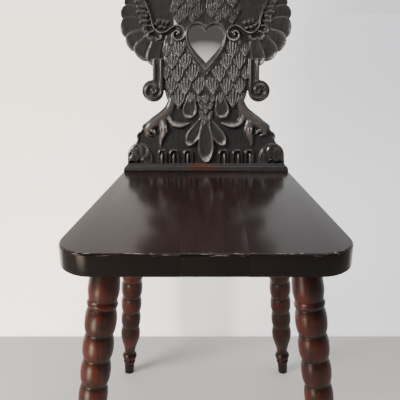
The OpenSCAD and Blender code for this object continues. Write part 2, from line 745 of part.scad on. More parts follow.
// The bead that edges each wing, from a scroll at the shoulder to a curl beside the heart
bead_w = 3;
bead_depth = 1;
shoulder_share = [0.709, 0.784];
shoulder_r = 13.5;
shoulder_angle = -8;
shoulder_sweep = 420;
curl_share = [0.333, 0.578];
curl_r = 16.5;
curl_eye_r = 4;
curl_angle = 75;
curl_sweep = 430;
bead_shares = [[0.788, 0.765], [0.758, 0.742], [0.719, 0.719], [0.677, 0.685], [0.64, 0.647], [0.618, 0.612],
    [0.571, 0.588], [0.512, 0.583], [0.448, 0.592], [0.394, 0.607]];
module wing_beads() {
    shoulder = reversed(spiral(spot(shoulder_share), shoulder_r, curl_eye_r,
                               shoulder_angle, shoulder_sweep, 26));
    curl = spiral(spot(curl_share), curl_r, curl_eye_r, curl_angle, curl_sweep, 28);
    twice() raised(bead_depth) polygon(band(concat(shoulder, spots(bead_shares), curl), bead_w));
}

// Two necks that part upward, with a groove between them
neck_depth = 4;
neck_groove = 3;
neck_shares = [[0, 0.6], [0.325, 0.618], [0.369, 0.655], [0.404, 0.7], [0.433, 0.75], [0.443, 0.79],
    [0.453, 0.83], [0.394, 0.88], [0.256, 0.89], [0.148, 0.86], [0, 0.84]];
neck_rows = 5;
neck_row = 21.5;
neck_step = 26;
neck_top_share = 0.875;
neck_feather_l = 32;
neck_feather_w = 22;
neck_feather_depth = 5.2;
neck_turn = 6;
neck_half = 62;
module necks() {
    twice() difference() {
        raised(neck_depth) polygon(spots(neck_shares));
        between(-ground_cut, overrun) translate([-overrun, 0]) square([overrun + neck_groove / 2, board_l]);
    }
    twice() for (row = [0:neck_rows - 1]) for (i = [0:2]) {
        x = (neck_feather_w + neck_groove) / 2 + neck_step * (i + (row % 2) / 2);
        v = neck_top_share * board_l - row * neck_row;
        if (x < neck_half)
            feather([x, v], 180 + neck_turn * i, neck_feather_l, neck_feather_w, neck_feather_depth,
                    feather_lift, feather_full);
    }
}

// Heads that look outward, with hooked beaks
head_depth = 1;
head_shares = [[0.443, 0.79], [0.468, 0.808], [0.522, 0.811], [0.561, 0.799], [0.589, 0.788], [0.596, 0.81],
    [0.595, 0.835], [0.566, 0.853], [0.522, 0.865], [0.468, 0.886], [0.394, 0.899], [0.305, 0.9],
    [0.251, 0.885], [0.266, 0.855], [0.335, 0.83]];
mouth_shares = [[0.63, 0.79], [0.566, 0.812], [0.532, 0.826], [0.482, 0.83]];
mouth_w = 1.5;
eye_share = [0.438, 0.866];
eye_r = 3.6;
eye_depth = 2;
module heads() {
    twice() difference() {
        raised(head_depth) polygon(rounded(spots(head_shares)));
        between(-ground_cut / 2, overrun) polygon(band(spots(mouth_shares), mouth_w));
    }
    twice() translate(concat(spot(eye_share), -eye_depth)) sphere(r = eye_r, $fn = 24);
}

// The crown over both heads: a band with pearls, and points above it
crown_depth = 1;
crown_point_depth = 2.5;
crown_band_shares = [[0.197, 0.893], [0.197, 0.915]];
crown_side_shares = [[0.192, 0.913], [0.212, 0.95], [0.182, 0.955], [0.128, 0.92]];
crown_middle_shares = [[0.049, 0.914], [0.094, 0.97], [0.069, 0.968], [0.03, 0.945]];
pearl_x = 17.6;
pearl_r = 3;
module crown() {
    raised(crown_depth) polygon(both_sides(spots(crown_band_shares)));
    pearl_v = (crown_band_shares[0][1] + crown_band_shares[1][1]) / 2 * board_l;
    for (i = [-1:1]) translate([i * pearl_x, pearl_v, -eye_depth]) sphere(r = pearl_r, $fn = 24);
    twice() raised(crown_point_depth) polygon(spots(crown_side_shares));
    raised(crown_point_depth) polygon(both_sides(spots(crown_middle_shares)));
}

// The board's blank up to the carving's ground, its foot left long
module board_blank() {
    between(-board_t, -ground_cut) {
        board_outline();
        translate([-plinth_half, -ledge_drop]) square([2 * plinth_half, ledge_drop + outline_spot(0)[1]]);
    }
}

// The carved forms, in the order in which they lie over each other
carved_forms = 15;
module carved_form(i) {
    if (i == 0) board_blank();
    if (i == 1) ledge();
    if (i == 2) shells();
    if (i == 3) arches();
    if (i == 4) clawed_legs();
    if (i == 5) volutes();
    if (i == 6) tail();
    if (i == 7) thighs();
    if (i == 8) breast();
    if (i == 9) wing_feathers();
    if (i == 10) coverts();
    if (i == 11) wing_beads();
    if (i == 12) necks();
    if (i == 13) heads();
    if (i == 14) crown();
    if (i == 15) raised(0) heart(heart_rim);
}
module carved_up_to(i) {
    if (i == 0) carved_form(0);
    else union() {
        carved_up_to(i - 1);
        carved_form(i);
    }
}

module back_board() {
    color(board_color) translate([0, -middle_y, 0]) difference() {
        union() {
            difference() {
                on_board() carved_up_to(carved_forms);
                translate([-wing_span, 0, under_h]) cube([2 * wing_span, 2 * seat_d, seat_t]);
            }
            back_tenons(0);
        }
        on_board() between(-board_t - overrun, ledge_out) heart(0);
        for (side = [-1, 1]) key_at(side * back_tenon_x, key_w + 2 * fit_gap, fit_gap, key_relief);
    }
}

seat_plank_left();
seat_plank_middle();
seat_plank_right();
front_batten();
rear_batten();
leg_front_left();
leg_front_right();
leg_rear_left();
leg_rear_right();
wedge_front_left();
wedge_front_right();
wedge_rear_left();
wedge_rear_right();
back_board();
back_key_left();
back_key_right();
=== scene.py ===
# %% [markdown]
# # A plank chair with a carved back
# The chair is a seat of three glued planks on two sliding battens, four turned legs that are
# wedged into blind sockets, and a carved back board whose tenons go through the seat and are
# keyed below it. The joinery is already modelled in CAD. This notebook keeps every place and
# size from it, and gives each piece the softer edges, the turning, the carving and the worn
# lacquer of the real chair. Everything is in metres, with the floor at z = 0, and the chair's
# front looks towards -y. Profiles and carving are written in millimetres, as on a workbench.

import math
from contextlib import contextmanager

import bpy
import bmesh
from mathutils import Matrix, Vector


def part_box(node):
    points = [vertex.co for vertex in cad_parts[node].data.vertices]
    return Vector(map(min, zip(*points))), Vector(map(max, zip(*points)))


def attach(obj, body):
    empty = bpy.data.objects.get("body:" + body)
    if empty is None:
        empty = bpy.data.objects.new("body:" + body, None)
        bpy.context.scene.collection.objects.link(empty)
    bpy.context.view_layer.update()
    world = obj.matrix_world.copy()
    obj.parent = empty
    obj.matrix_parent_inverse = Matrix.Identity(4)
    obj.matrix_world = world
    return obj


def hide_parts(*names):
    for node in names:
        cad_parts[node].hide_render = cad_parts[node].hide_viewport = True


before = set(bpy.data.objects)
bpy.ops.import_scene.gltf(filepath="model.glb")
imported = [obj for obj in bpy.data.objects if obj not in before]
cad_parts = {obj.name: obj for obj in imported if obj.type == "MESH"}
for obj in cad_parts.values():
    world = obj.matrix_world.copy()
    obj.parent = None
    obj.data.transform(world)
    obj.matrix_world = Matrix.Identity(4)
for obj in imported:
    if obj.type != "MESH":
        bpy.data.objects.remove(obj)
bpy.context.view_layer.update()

# %% Sizes and places that the later cells share
deg = math.pi / 180
mm = 1000
middle_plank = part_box("seat_plank_middle")
joint_left, seat_front, seat_bottom = middle_plank[0]
joint_right, seat_top = middle_plank[1].x, middle_plank[1].z
board_lean = 13 * deg
board_thickness = 28
board_setback = 0.386
board_foot = Vector((0, seat_front + board_setback, seat_top))
print("seat from", seat_bottom, "to", seat_top, "m above the floor")

# %% [markdown]
# ## The camera
# The chair was photographed from the front, from a standing person's chest, looking down. A
# pinhole camera was fitted to the seat's outline and the legs. It could also be placed by eye,
# but then the splay of the legs and the depth of the seat would never agree. The small
# sideways shift keeps the seat's middle where the picture has it.

# %% Camera
camera_place = (0, -0.92295, 0.76976)
camera_pitch = 19.45 * deg

bpy.ops.object.select_all(action="DESELECT")
bpy.ops.object.camera_add(location=camera_place, rotation=(90 * deg - camera_pitch, 0, 0))
camera = bpy.context.object
camera.name = "photo_camera"
camera.data.sensor_width = 36
camera.data.lens = 51.505
camera.data.shift_x = -0.015
camera.data.clip_start = 0.05
bpy.context.scene.camera = camera
print("camera", tuple(camera.location))

# %% [markdown]
# ## Small helpers
# Each helper is a step that a modeller does by hand again and again: make one object active,
# work on its mesh in Edit Mode, apply a modifier, merge doubles, or cut a mesh with a plane.
# They keep the later cells short, so that those can talk about the wood.

# %% Helpers for selecting, editing and applying
def only(piece):
    """Deselects everything else and makes this piece the active one."""
    if bpy.context.mode != "OBJECT":
        bpy.ops.object.mode_set(mode="OBJECT")
    bpy.ops.object.select_all(action="DESELECT")
    piece.select_set(True)
    bpy.context.view_layer.objects.active = piece


@contextmanager
def editing(piece):
    """Edit Mode on this piece, with its whole mesh selected."""
    only(piece)
    bpy.ops.object.mode_set(mode="EDIT")
    bpy.ops.mesh.select_all(action="SELECT")
    yield
    bpy.ops.object.mode_set(mode="OBJECT")


def apply_modifier(piece, kind, **settings):
    """Adds a modifier with these settings and applies it."""
    only(piece)
    bpy.ops.object.modifier_add(type=kind)
    modifier = piece.modifiers[-1]
    for name, value in settings.items():
        setattr(modifier, name, value)
    bpy.ops.object.modifier_apply(modifier=modifier.name)


def settle(piece):
    """Puts the piece's place, turn and size into its mesh."""
    only(piece)
    bpy.ops.object.transform_apply(location=True, rotation=True, scale=True)


def smooth_below(piece, angle):
    """Smooth shading, but for edges that are sharper than this angle in degrees."""
    only(piece)
    bpy.ops.object.shade_smooth_by_angle(angle=angle * deg)


def clean_up(piece, distance=0.00002):
    """Merges doubles and turns all faces outward."""
    with editing(piece):
        bpy.ops.mesh.remove_doubles(threshold=distance)
        bpy.ops.mesh.normals_make_consistent(inside=False)


def cut_level(piece, height, keep_below=True):
    """Cuts the piece with a level plane and closes the cut."""
    with editing(piece):
        bpy.ops.mesh.bisect(plane_co=(0, 0, height), plane_no=(0, 0, 1), use_fill=True, threshold=0.00001,
                            clear_outer=keep_below, clear_inner=not keep_below)


def join(pieces, name):
    """Joins pieces into the first one."""
    only(pieces[0])
    for piece in pieces:
        piece.select_set(True)
    bpy.ops.object.join()
    joined = bpy.context.object
    joined.name = name
    joined.data.name = name
    return joined


def twin_of(piece, name):
    """A copy of a piece, with a mesh of its own."""
    twin = piece.copy()
    twin.data = piece.data.copy()
    twin.name = name
    bpy.context.scene.collection.objects.link(twin)
    return twin


def edge_ring(name, points):
    """A closed ring of edges through (x, y, z) points in millimetres."""
    only(camera)
    bpy.ops.mesh.primitive_circle_add(vertices=len(points), radius=1, fill_type="NOTHING")
    ring = bpy.context.object
    ring.name = name
    for vertex, point in zip(ring.data.vertices, points):
        vertex.co = [value / mm for value in point]
    return ring


def copy_of(node, name):
    """A copy of a CAD node's mesh, with its loose triangles merged."""
    piece = twin_of(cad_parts[node], name)
    for key in list(piece.keys()):
        del piece[key]
    piece.data.name = name
    piece.parent = None
    with editing(piece):
        bpy.ops.mesh.remove_doubles(threshold=0.00001)
        bpy.ops.mesh.dissolve_limited(angle_limit=1 * deg)
    return piece


def stand_for(piece, material, node):
    """Gives a piece its one material, and lets it ride with the chair in a CAD node's stead."""
    piece.data.materials.clear()
    piece.data.materials.append(material)
    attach(piece, "root")
    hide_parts(node)
    return piece


print("helpers ready")

# %% [markdown]
# ## Building a finish from nodes
# Lacquered wood is a stack: the wood's own colour and grain, the stain that is darker in the
# hollows, then a clear coat on top. The Principled shader has all these layers, so a finish
# here is that shader with noise in its colour and its bump. Its gloss is set low, because the
# coat does the shining and the wood below it hardly mirrors. The noise reads Object
# coordinates, stretched along the grain, because then it stays fixed in the wood. The same
# helpers build the floor's paint and the light of the room.

# %% Helpers for any node tree
def add_node(owner, kind, inputs=None, **settings):
    """Adds a node to a material or world, and links or sets each of the inputs that are given."""
    node = owner.node_tree.nodes.new(kind)
    for name, value in settings.items():
        setattr(node, name, value)
    for socket, value in (inputs or {}).items():
        plug_in(owner, value, node.inputs[socket])
    return node


def plug_in(owner, value, socket):
    """Links a socket to an input, or sets the input to a number or tuple."""
    if isinstance(value, bpy.types.NodeSocket):
        owner.node_tree.links.new(value, socket)
    else:
        socket.default_value = value


def work_out(owner, operation, first, second=0.0):
    """A sum with one or two numbers."""
    return add_node(owner, "ShaderNodeMath", {0: first, 1: second}, operation=operation).outputs[0]


def multiply(owner, first, *others):
    """The product of two or more values."""
    for other in others:
        first = work_out(owner, "MULTIPLY", first, other)
    return first


def between(owner, value, low, high, at_low=0.0, at_high=1.0):
    """Turns low..high into at_low..at_high, and holds the end values outside."""
    ends = {"From Min": low, "From Max": high, "To Min": at_low, "To Max": at_high}
    return add_node(owner, "ShaderNodeMapRange", {"Value": value, **ends}).outputs["Result"]


def length_of(owner, vector):
    return add_node(owner, "ShaderNodeVectorMath", {0: vector}, operation="LENGTH").outputs["Value"]


def reach_along(owner, vector, direction):
    """How far a vector reaches in a direction."""
    return add_node(owner, "ShaderNodeVectorMath", {0: vector, 1: direction},
                    operation="DOT_PRODUCT").outputs["Value"]


def axis_of(owner, vector, axis):
    """The vector's X, Y or Z."""
    return add_node(owner, "ShaderNodeSeparateXYZ", {"Vector": vector}).outputs[axis]


def object_place(owner):
    """The point's place in Object coordinates."""
    return add_node(owner, "ShaderNodeTexCoord").outputs["Object"]


def mapped(owner, vector, shift=(0, 0, 0), stretch=(1, 1, 1)):
    """The vector, stretched and shifted on each axis."""
    node = add_node(owner, "ShaderNodeMapping", {"Vector": vector, "Location": shift, "Scale": stretch})
    return node.outputs["Vector"]


def ramp(owner, factor, stops):
    """A colour ramp with (position, grey or colour) stops, in rising order."""
    node = add_node(owner, "ShaderNodeValToRGB", {"Fac": factor})
    elements = node.color_ramp.elements
    elements.remove(elements[1])
    elements[0].position = stops[0][0]
    for position, shade in stops[1:]:
        elements.new(position)
    for element, (position, shade) in zip(elements, stops):
        element.color = (*shade, 1) if isinstance(shade, tuple) else (shade, shade, shade, 1)
    return node.outputs["Color"]


def mix_colour(owner, factor, first, second, blend="MIX"):
    """Mixes two colours, which are sockets or tuples."""
    node = add_node(owner, "ShaderNodeMix", {0: factor}, data_type="RGBA", blend_type=blend)
    for socket, colour in ((6, first), (7, second)):
        plug_in(owner, (*colour, 1) if isinstance(colour, tuple) else colour, node.inputs[socket])
    return node.outputs[2]


# %% Helpers for finishes
def new_finish(name, roughness, coat, coat_roughness, gloss=0.5):
    """A material with a lacquered Principled shader. gloss is the gloss of the wood below the coat."""
    finish = bpy.data.materials.new(name)
    finish.use_nodes = True
    shader = finish.node_tree.nodes["Principled BSDF"]
    shader.inputs["Roughness"].default_value = roughness
    shader.inputs["Specular IOR Level"].default_value = gloss
    shader.inputs["Coat Weight"].default_value = coat
    shader.inputs["Coat Roughness"].default_value = coat_roughness
    return finish


def drive(finish, socket, value):
    """Sets or links one socket of the finish's shader."""
    plug_in(finish, value, finish.node_tree.nodes["Principled BSDF"].inputs[socket])


def noise(finish, stretch, scale, detail=6, shift=(0, 0, 0)):
    """Noise in Object coordinates, with each axis stretched or squeezed."""
    place = mapped(finish, object_place(finish), shift, stretch)
    return add_node(finish, "ShaderNodeTexNoise", {
        "Vector": place, "Scale": scale, "Detail": detail, "Roughness": 0.6}).outputs["Fac"]


def painted(finish, name, output="Fac"):
    """Reads a value that was painted on the mesh."""
    return add_node(finish, "ShaderNodeAttribute", attribute_name=name).outputs[output]


def surface_normal(finish):
    return add_node(finish, "ShaderNodeNewGeometry").outputs["Normal"]


def set_shader(finish, colour, height, depth):
    """Links the colour, and a bump of this depth in metres, to the shader."""
    bump = add_node(finish, "ShaderNodeBump", {"Height": height, "Strength": 1, "Distance": depth})
    drive(finish, "Base Color", colour)
    drive(finish, "Normal", bump.outputs["Normal"])
    drive(finish, "Coat Normal", bump.outputs["Normal"])
    return finish


print("finish helpers ready")

# %% [markdown]
# ## The seat's lacquer
# The seat is the smoothest piece: dark brown-red, polished by use until it mirrors the board
# behind it. One image texture of the whole seat would be quick, but it would stretch at the
# edges. Each plank here gets the same recipe with its grain in another place, as three planks
# from three parts of a tree would have. On the front and rear edges the grain ends, so the
# wood drinks the stain and the lacquer: those edges are darker and shine less. A painted value
# called rim says where the edges are, and there a little lacquer is chipped off along the front.
# The chips are painted near-white, so they are also painted glints along the front rim.

# %% Seat lacquer
end_grain_wood = (0.004, 0.0024, 0.0018)
thin_lacquer = (0.05, 0.018, 0.011)
chip_and_glint_colour = (0.62, 0.55, 0.49)
end_grain_share = 0.75


def seat_lacquer(name, shift, dark, warm):
    """A plank's lacquer. shift takes its grain from another part of the tree."""
    finish = new_finish(name, 0.5, 0.9, 0.17, 0.05)
    grain = noise(finish, (1, 0.035, 1), 230, 5, shift)
    figure = noise(finish, (1, 0.16, 1), 26, 3, shift)
    wood = ramp(finish, grain, [(0.32, dark), (0.68, warm)])
    wood = mix_colour(finish, 0.75, wood, ramp(finish, figure, [(0.3, 0.45), (0.7, 1.0)]), "MULTIPLY")
    front = between(finish, axis_of(finish, object_place(finish), "Y"), -0.20, -0.235)
    top = between(finish, axis_of(finish, object_place(finish), "Z"), seat_top - 0.004, seat_top - 0.003)
    # The near-white flecks on the front rim are partly chipped lacquer and partly painted glints.
    flakes = ramp(finish, noise(finish, (0.25, 3, 3), 200, 3), [(0.61, 0.0), (0.64, 1.0)])
    chips_and_glints = multiply(finish, painted(finish, "rim"), flakes, multiply(finish, front, top))
    wood = mix_colour(finish, chips_and_glints, wood, chip_and_glint_colour)
    wood = mix_colour(finish, multiply(finish, painted(finish, "rim"), 0.15), wood, thin_lacquer)
    along_y = work_out(finish, "ABSOLUTE", axis_of(finish, surface_normal(finish), "Y"))
    end_grain = between(finish, along_y, 0.2, 0.7, 0.0, end_grain_share)
    wood = mix_colour(finish, end_grain, wood, end_grain_wood)
    drive(finish, "Coat Weight", between(finish, end_grain, 0.0, end_grain_share, 0.9, 0.25))
    return set_shader(finish, wood, grain, 0.00001)


plank_finishes = {
    "seat_plank_left": seat_lacquer(
        "seat_lacquer_left", (0.3, 0.1, 0), (0.009, 0.0036, 0.0025), (0.026, 0.0090, 0.0058)),
    "seat_plank_middle": seat_lacquer(
        "seat_lacquer_middle", (1.7, 0.6, 0), (0.010, 0.0036, 0.0024), (0.029, 0.0086, 0.0047)),
    "seat_plank_right": seat_lacquer(
        "seat_lacquer_right", (3.1, 1.2, 0), (0.010, 0.0042, 0.0032), (0.024, 0.0090, 0.0062)),
}
print("seat finishes", sorted(plank_finishes))

# %% [markdown]
# ## The seat planks
# A cabinetmaker glues three planks edge to edge, saws the outline and rounds the rims. The
# planks start as copies of their CAD nodes, because those hold the dovetail grooves, sockets
# and mortises. New planks could be extruded from the outline, but the joinery would have to
# be cut again. The rims get a wide soft bevel and the glue joints only a hairline one, so the
# two joints show as thin lines in the lacquer.

# %% Bevels by edge weight
rim_bevel = 0.0016
joint_bevel = 0.00010
sharp_edge = 30 * deg


def weigh_edges(piece, rule):
    """Sets each sharp edge's bevel weight with rule(a, b), where a and b are its ends."""
    edges = bmesh.new()
    edges.from_mesh(piece.data)
    weight = edges.edges.layers.float.new("bevel_weight_edge")
    for edge in edges.edges:
        if len(edge.link_faces) == 2 and edge.calc_face_angle(0) > sharp_edge:
            edge[weight] = rule(edge.verts[0].co, edge.verts[1].co)
    edges.to_mesh(piece.data)
    edges.free()


def soften(piece, width, segments, rule=lambda a, b: 1.0):
    """Bevels the sharp edges by their weight and smooths the shading."""
    weigh_edges(piece, rule)
    apply_modifier(piece, "BEVEL", width=width, segments=segments, limit_method="WEIGHT",
                   harden_normals=False, use_clamp_overlap=True)
    smooth_below(piece, 40)


print("bevels of", rim_bevel, "and", joint_bevel, "m")


# %% Soften the planks and paint their rims
small_face = 0.0006


def paint_rim(piece):
    """Paints 1 on the small slanted faces of the rims and 0 on the flat faces."""
    rim = piece.data.attributes.new("rim", "FLOAT", "CORNER")
    for face in piece.data.polygons:
        slanted = 0.12 < abs(face.normal.z) < 0.985
        for corner in face.loop_indices:
            rim.data[corner].value = 1.0 if slanted and face.area < small_face else 0.0


def plank_rule(a, b):
    """Full weight on the outer rims, a small one at glue joints and joinery."""
    on_joint = any(abs(a.x - x) < 0.0005 and abs(b.x - x) < 0.0005 for x in (joint_left, joint_right))
    at_rim = min(abs(a.z - seat_top), abs(a.z - seat_bottom)) < 0.003
    level = abs(a.z - b.z) < 0.0001
    return 1.0 if at_rim and level and not on_joint else joint_bevel / rim_bevel


for node, finish in plank_finishes.items():
    plank = copy_of(node, node + "_softened")
    soften(plank, rim_bevel, 4, plank_rule)
    paint_rim(plank)
    stand_for(plank, finish, node)
    print(plank.name, len(plank.data.polygons), "faces")

# %% [markdown]
# ## The legs' lacquer
# The legs were stained nearly black and then rubbed back, so the crowns of the beads shine
# red-brown and the grooves stay dark. A dirt texture could fake that, but the turning itself
# knows where its crowns are: each point's distance from the leg's axis is painted on the mesh
# as a value called crown, and the colour follows it.

# %% Leg lacquer
def leg_lacquer():
    finish = new_finish("leg_lacquer", 0.5, 0.45, 0.3, 0.05)
    grain = noise(finish, (1, 1, 0.05), 260, 5)
    patches = noise(finish, (1, 1, 0.6), 34, 3)
    rubbed = multiply(finish, ramp(finish, painted(finish, "crown"), [(0.05, 0.0), (0.7, 1.0)]),
                      ramp(finish, patches, [(0.40, 0.15), (0.62, 1.0)]))
    stain = ramp(finish, grain, [(0.3, (0.006, 0.0030, 0.0024)), (0.7, (0.015, 0.0060, 0.0042))])
    red = ramp(finish, grain, [(0.3, (0.034, 0.0064, 0.0033)), (0.7, (0.088, 0.0135, 0.0058))])
    return set_shader(finish, mix_colour(finish, rubbed, stain, red), grain, 0.00003)


leg_finish = leg_lacquer()
print("leg finish ready")

# %% [markdown]
# ## The turned legs
# A turner cuts the same profile from four blanks: a long swelling under the seat, a collar,
# six fat beads, a vase, two rings and a small foot. The profile is one line from the seat to
# the floor. A Screw modifier spins it round the lathe's axis, which gives clean rings of
# faces. Stacked spheres and cones would need a lot of joining. Then the leg is tilted into
# its socket, cut level at the seat and the floor, and gets the wedged tenon of the CAD leg.

# %% Profile of a leg, as (distance down the leg, radius) in millimetres
beads = 6
beads_start = 64
below_beads = 129
top_crown, crown_loss, groove_depth = 23, 3, 3.1


def eased(a, b, start, length, steps):
    """A smooth step from radius a to radius b."""
    return [(start + length * i / steps, a + (b - a) * (1 - math.cos(math.pi * i / steps)) / 2)
            for i in range(steps)]


def bead(low, high, start, length, steps, power):
    """A bead that rises from its groove, and falls to it again."""
    return [(start + length * i / steps, high - (high - low) * abs(2 * i / steps - 1) ** power)
            for i in range(steps)]


def leg_profile(length):
    """The whole profile, from just above the seat's underside to just below the floor."""
    swelling = [(-6, 20.35)] + eased(20.35, 22.75, 0, 37, 10) + eased(22.75, 21, 37, 15, 6)
    collar = [(52, 20.2)] + bead(20.2, 22.25, 52.6, 10.8, 8, 2.2) + [(63.4, 20.0)]
    pitch = (length - beads_start - below_beads) / beads
    row = []
    for i in range(beads):
        crown = top_crown - crown_loss * i / (beads - 1)
        row += bead(crown - groove_depth, crown, beads_start + pitch * i, pitch, 16, 2.5)
    top = length - below_beads
    vase = [(top, 17)] + [(top + 18 * i / 6, 17 + 3 * math.sin(math.pi / 2 * i / 6)) for i in range(1, 6)]
    vase += eased(20, 10.75, top + 18, 56, 14)
    rings = [(top + 74, 10.2)] + bead(10, 15, top + 75, 14, 12, 2.4)
    rings += [(top + 89, 10)] + bead(10, 12.75, top + 90, 12.4, 10, 2.4)
    foot = [(length - 26, 10), (length - 25, 10.5), (length - 19, 10.4), (length, 9.5), (length + 8, 9.2)]
    return swelling + collar + row + vase + rings + foot


print("profile points", len(leg_profile(430)))


# %% Turn one leg on the lathe
def turned_blank(name, length):
    """Spins the leg's profile round the z axis, with the seat's underside at z = 0."""
    blank = edge_ring(name, [(radius, 0, -depth) for depth, radius in leg_profile(length)])
    with editing(blank):
        lathe = bmesh.from_edit_mesh(blank.data)
        for edge in lathe.edges:
            edge.select_set(abs(edge.verts[0].index - edge.verts[1].index) > 1)
        bmesh.update_edit_mesh(blank.data)
        bpy.ops.mesh.delete(type="EDGE")
    apply_modifier(blank, "SCREW", angle=2 * math.pi, steps=64, render_steps=64, axis="Z",
                   use_merge_vertices=True, merge_threshold=0.00001, use_smooth_shade=True)
    clean_up(blank)
    with editing(blank):
        bpy.ops.mesh.select_all(action="DESELECT")
        bpy.ops.mesh.select_non_manifold(extend=False, use_wire=False, use_boundary=True,
                                         use_multi_face=False, use_non_contiguous=False, use_verts=False)
        bpy.ops.mesh.edge_face_add()
    clean_up(blank)
    return blank


print("lathe ready")

# %% Paint the crowns
vase_depth = 300
taper_length = 210
swelling_radii = (22.5, 18.6)
vase_radii = (17.5, 9.5)


def paint_crowns(piece):
    """Paints how far each point of the turning stands out, from groove to crown."""
    crown = piece.data.attributes.new("crown", "FLOAT", "POINT")
    for vertex in piece.data.vertices:
        radius, depth = math.hypot(vertex.co.x, vertex.co.y) * mm, -vertex.co.z * mm
        if depth < beads_start:
            full, hollow = swelling_radii
        elif depth <= vase_depth:
            full = top_crown - crown_loss * min(1, (depth - beads_start) / taper_length)
            hollow = full - groove_depth
        else:
            full, hollow = vase_radii
        crown.data[vertex.index].value = max(0, min(1, (radius - hollow) / (full - hollow)))


print("crowns of", top_crown, "to", top_crown - crown_loss, "mm radius")


# %% Tilt each leg into its socket and add its tenon
# Top of the leg: across, behind the seat's front. Lean of its foot in degrees: right, rear
leg_places = {
    "leg_front_left": (-0.139, 0.044, -7.5, -8.3),
    "leg_front_right": (0.139, 0.044, 7.5, -8.3),
    "leg_rear_left": (-0.131, 0.315, -5.0, 8.3),
    "leg_rear_right": (0.131, 0.315, 5.0, 8.3),
}


def stand_leg(node, x, y, right, rear):
    """Makes the leg that replaces a CAD node, in its place."""
    length = seat_bottom * mm * math.sqrt(1 + math.tan(right * deg) ** 2 + math.tan(rear * deg) ** 2)
    leg = turned_blank(node + "_turned", length)
    paint_crowns(leg)
    tilt = math.atan(math.tan(rear * deg) * math.cos(right * deg))
    leg.matrix_world = (Matrix.Translation((x, seat_front + y, seat_bottom))
                        @ Matrix.Rotation(-right * deg, 4, "Y") @ Matrix.Rotation(tilt, 4, "X"))
    settle(leg)
    cut_level(leg, seat_bottom)
    cut_level(leg, 0, keep_below=False)
    tenon = copy_of(node, node + "_tenon")
    cut_level(tenon, seat_bottom - 0.001, keep_below=False)
    leg = join([leg, tenon], leg.name)
    smooth_below(leg, 50)
    return stand_for(leg, leg_finish, node)


legs = [stand_leg(node, *place) for node, place in leg_places.items()]
print("legs", [len(leg.data.polygons) for leg in legs])

# %% [markdown]
# ## The wood under the seat
# The battens, keys and wedges were never meant to be seen. They are plain stained wood, planed
# but not polished, with open grain and a little dust, so they get a matt finish with hardly any
# coat. The battens' grain runs across the seat and the keys' grain runs front to back.

# %% Plain stained wood
def stained_wood(name, stretch, dark, light):
    finish = new_finish(name, 0.62, 0.08, 0.4)
    grain = noise(finish, stretch, 240, 6)
    patches = noise(finish, (1, 1, 1), 18, 3)
    wood = ramp(finish, grain, [(0.3, dark), (0.7, light)])
    wood = mix_colour(finish, 0.6, wood, ramp(finish, patches, [(0.3, 0.55), (0.7, 1.0)]), "MULTIPLY")
    return set_shader(finish, wood, grain, 0.00006)


under_finish = stained_wood("under_stain", (0.035, 1, 1), (0.030, 0.014, 0.008), (0.085, 0.040, 0.022))
key_finish = stained_wood("key_stain", (1, 0.04, 1), (0.050, 0.024, 0.013), (0.125, 0.066, 0.036))
wedge_finish = stained_wood("wedge_stain", (1, 1, 0.05), (0.060, 0.032, 0.018), (0.15, 0.085, 0.05))
print("under finishes ready")

# %% [markdown]
# ## Battens, keys and wedges
# The two battens slide into dovetail grooves and keep the planks flat. The keys lock the board
# from below. Their shapes are already right in the CAD, so they are copied and only their
# arrises are broken, as a plane does with one stroke. The wedges sit inside the legs' tenons,
# and stay as their CAD nodes.

# %% Break the arrises of the battens and keys
def planed(node, material, width):
    """A CAD node's copy with its arrises broken."""
    piece = copy_of(node, node + "_planed")
    soften(piece, width, 2)
    return stand_for(piece, material, node)


battens = [planed(node, under_finish, 0.0006) for node in ("front_batten", "rear_batten")]
keys = [planed(node, key_finish, 0.0008) for node in ("back_key_left", "back_key_right")]
for node in ("wedge_front_left", "wedge_front_right", "wedge_rear_left", "wedge_rear_right"):
    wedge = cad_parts[node]
    wedge.data.materials.clear()
    wedge.data.materials.append(wedge_finish)
print("under the seat", [piece.name for piece in battens + keys])

# %% [markdown]
# ## How the back board is carved
# The board is one plank, 28 mm thick. A carver saws the outline and the heart, sinks the
# ground by 8 mm and leaves a double-headed eagle standing. It could be sculpted by brush, or
# displaced from a painted height map, but both lose the crisp feather edges. Here each form is
# a slab that a formula shapes on the bench, feathers are copied from a few masters, and a
# voxel remesh at the end melts all of them into one piece of wood. The board lies on its back
# while it is carved: x across, y up the board, z out of the face, and the face at z = 0.

# %% The outline, as (share of half the wing span, share of the length, bulge)
half_span = 162.5
board_length = 445
board_back = -board_thickness
ground = -8
first_wing_edge = 10
outline_shares = [
    (0.937, 0.048, 0.21), (0.805, 0.121, 0.33), (0.753, 0.173, 0.26), (0.729, 0.203, 0.06),
    (0.603, 0.227, -0.03), (0.492, 0.26, -0.04), (0.435, 0.302, 0), (0.477, 0.325, 0.04),
    (0.496, 0.36, 0), (0.496, 0.45, 0), (0.572, 0.461, 0.31), (0.695, 0.4708, 0.25),
    (0.831, 0.518, 0.28), (0.939, 0.574, 0.215), (0.974, 0.646, 0.24), (0.937, 0.7, 0.2),
    (0.898, 0.744, 0.22), (0.852, 0.785, 0.2), (0.778, 0.812, 0.3), (0.65, 0.808, 0.16),
    (0.612, 0.775, 0), (0.591, 0.752, -0.15), (0.463, 0.75, -0.1), (0.445, 0.785, 0),
    (0.468, 0.808, 0), (0.522, 0.811, 0.1), (0.561, 0.799, -0.1), (0.591, 0.786, 0.16),
    (0.597, 0.833, 0.16), (0.532, 0.862, -0.06), (0.468, 0.885, 0.16), (0.335, 0.905, 0.12),
    (0.236, 0.897, 0), (0.197, 0.9, 0), (0.231, 0.95, 0.3), (0.187, 0.963, 0), (0.133, 0.93, 0),
    (0.103, 0.975, 0.35), (0.069, 0.975, 0), (0.034, 0.94, 0), (0.03, 0.985, 0.4)]
corners = [Vector((a * half_span, b * board_length)) for a, b, bulge in outline_shares]
corners.append(Vector((0, board_length)))


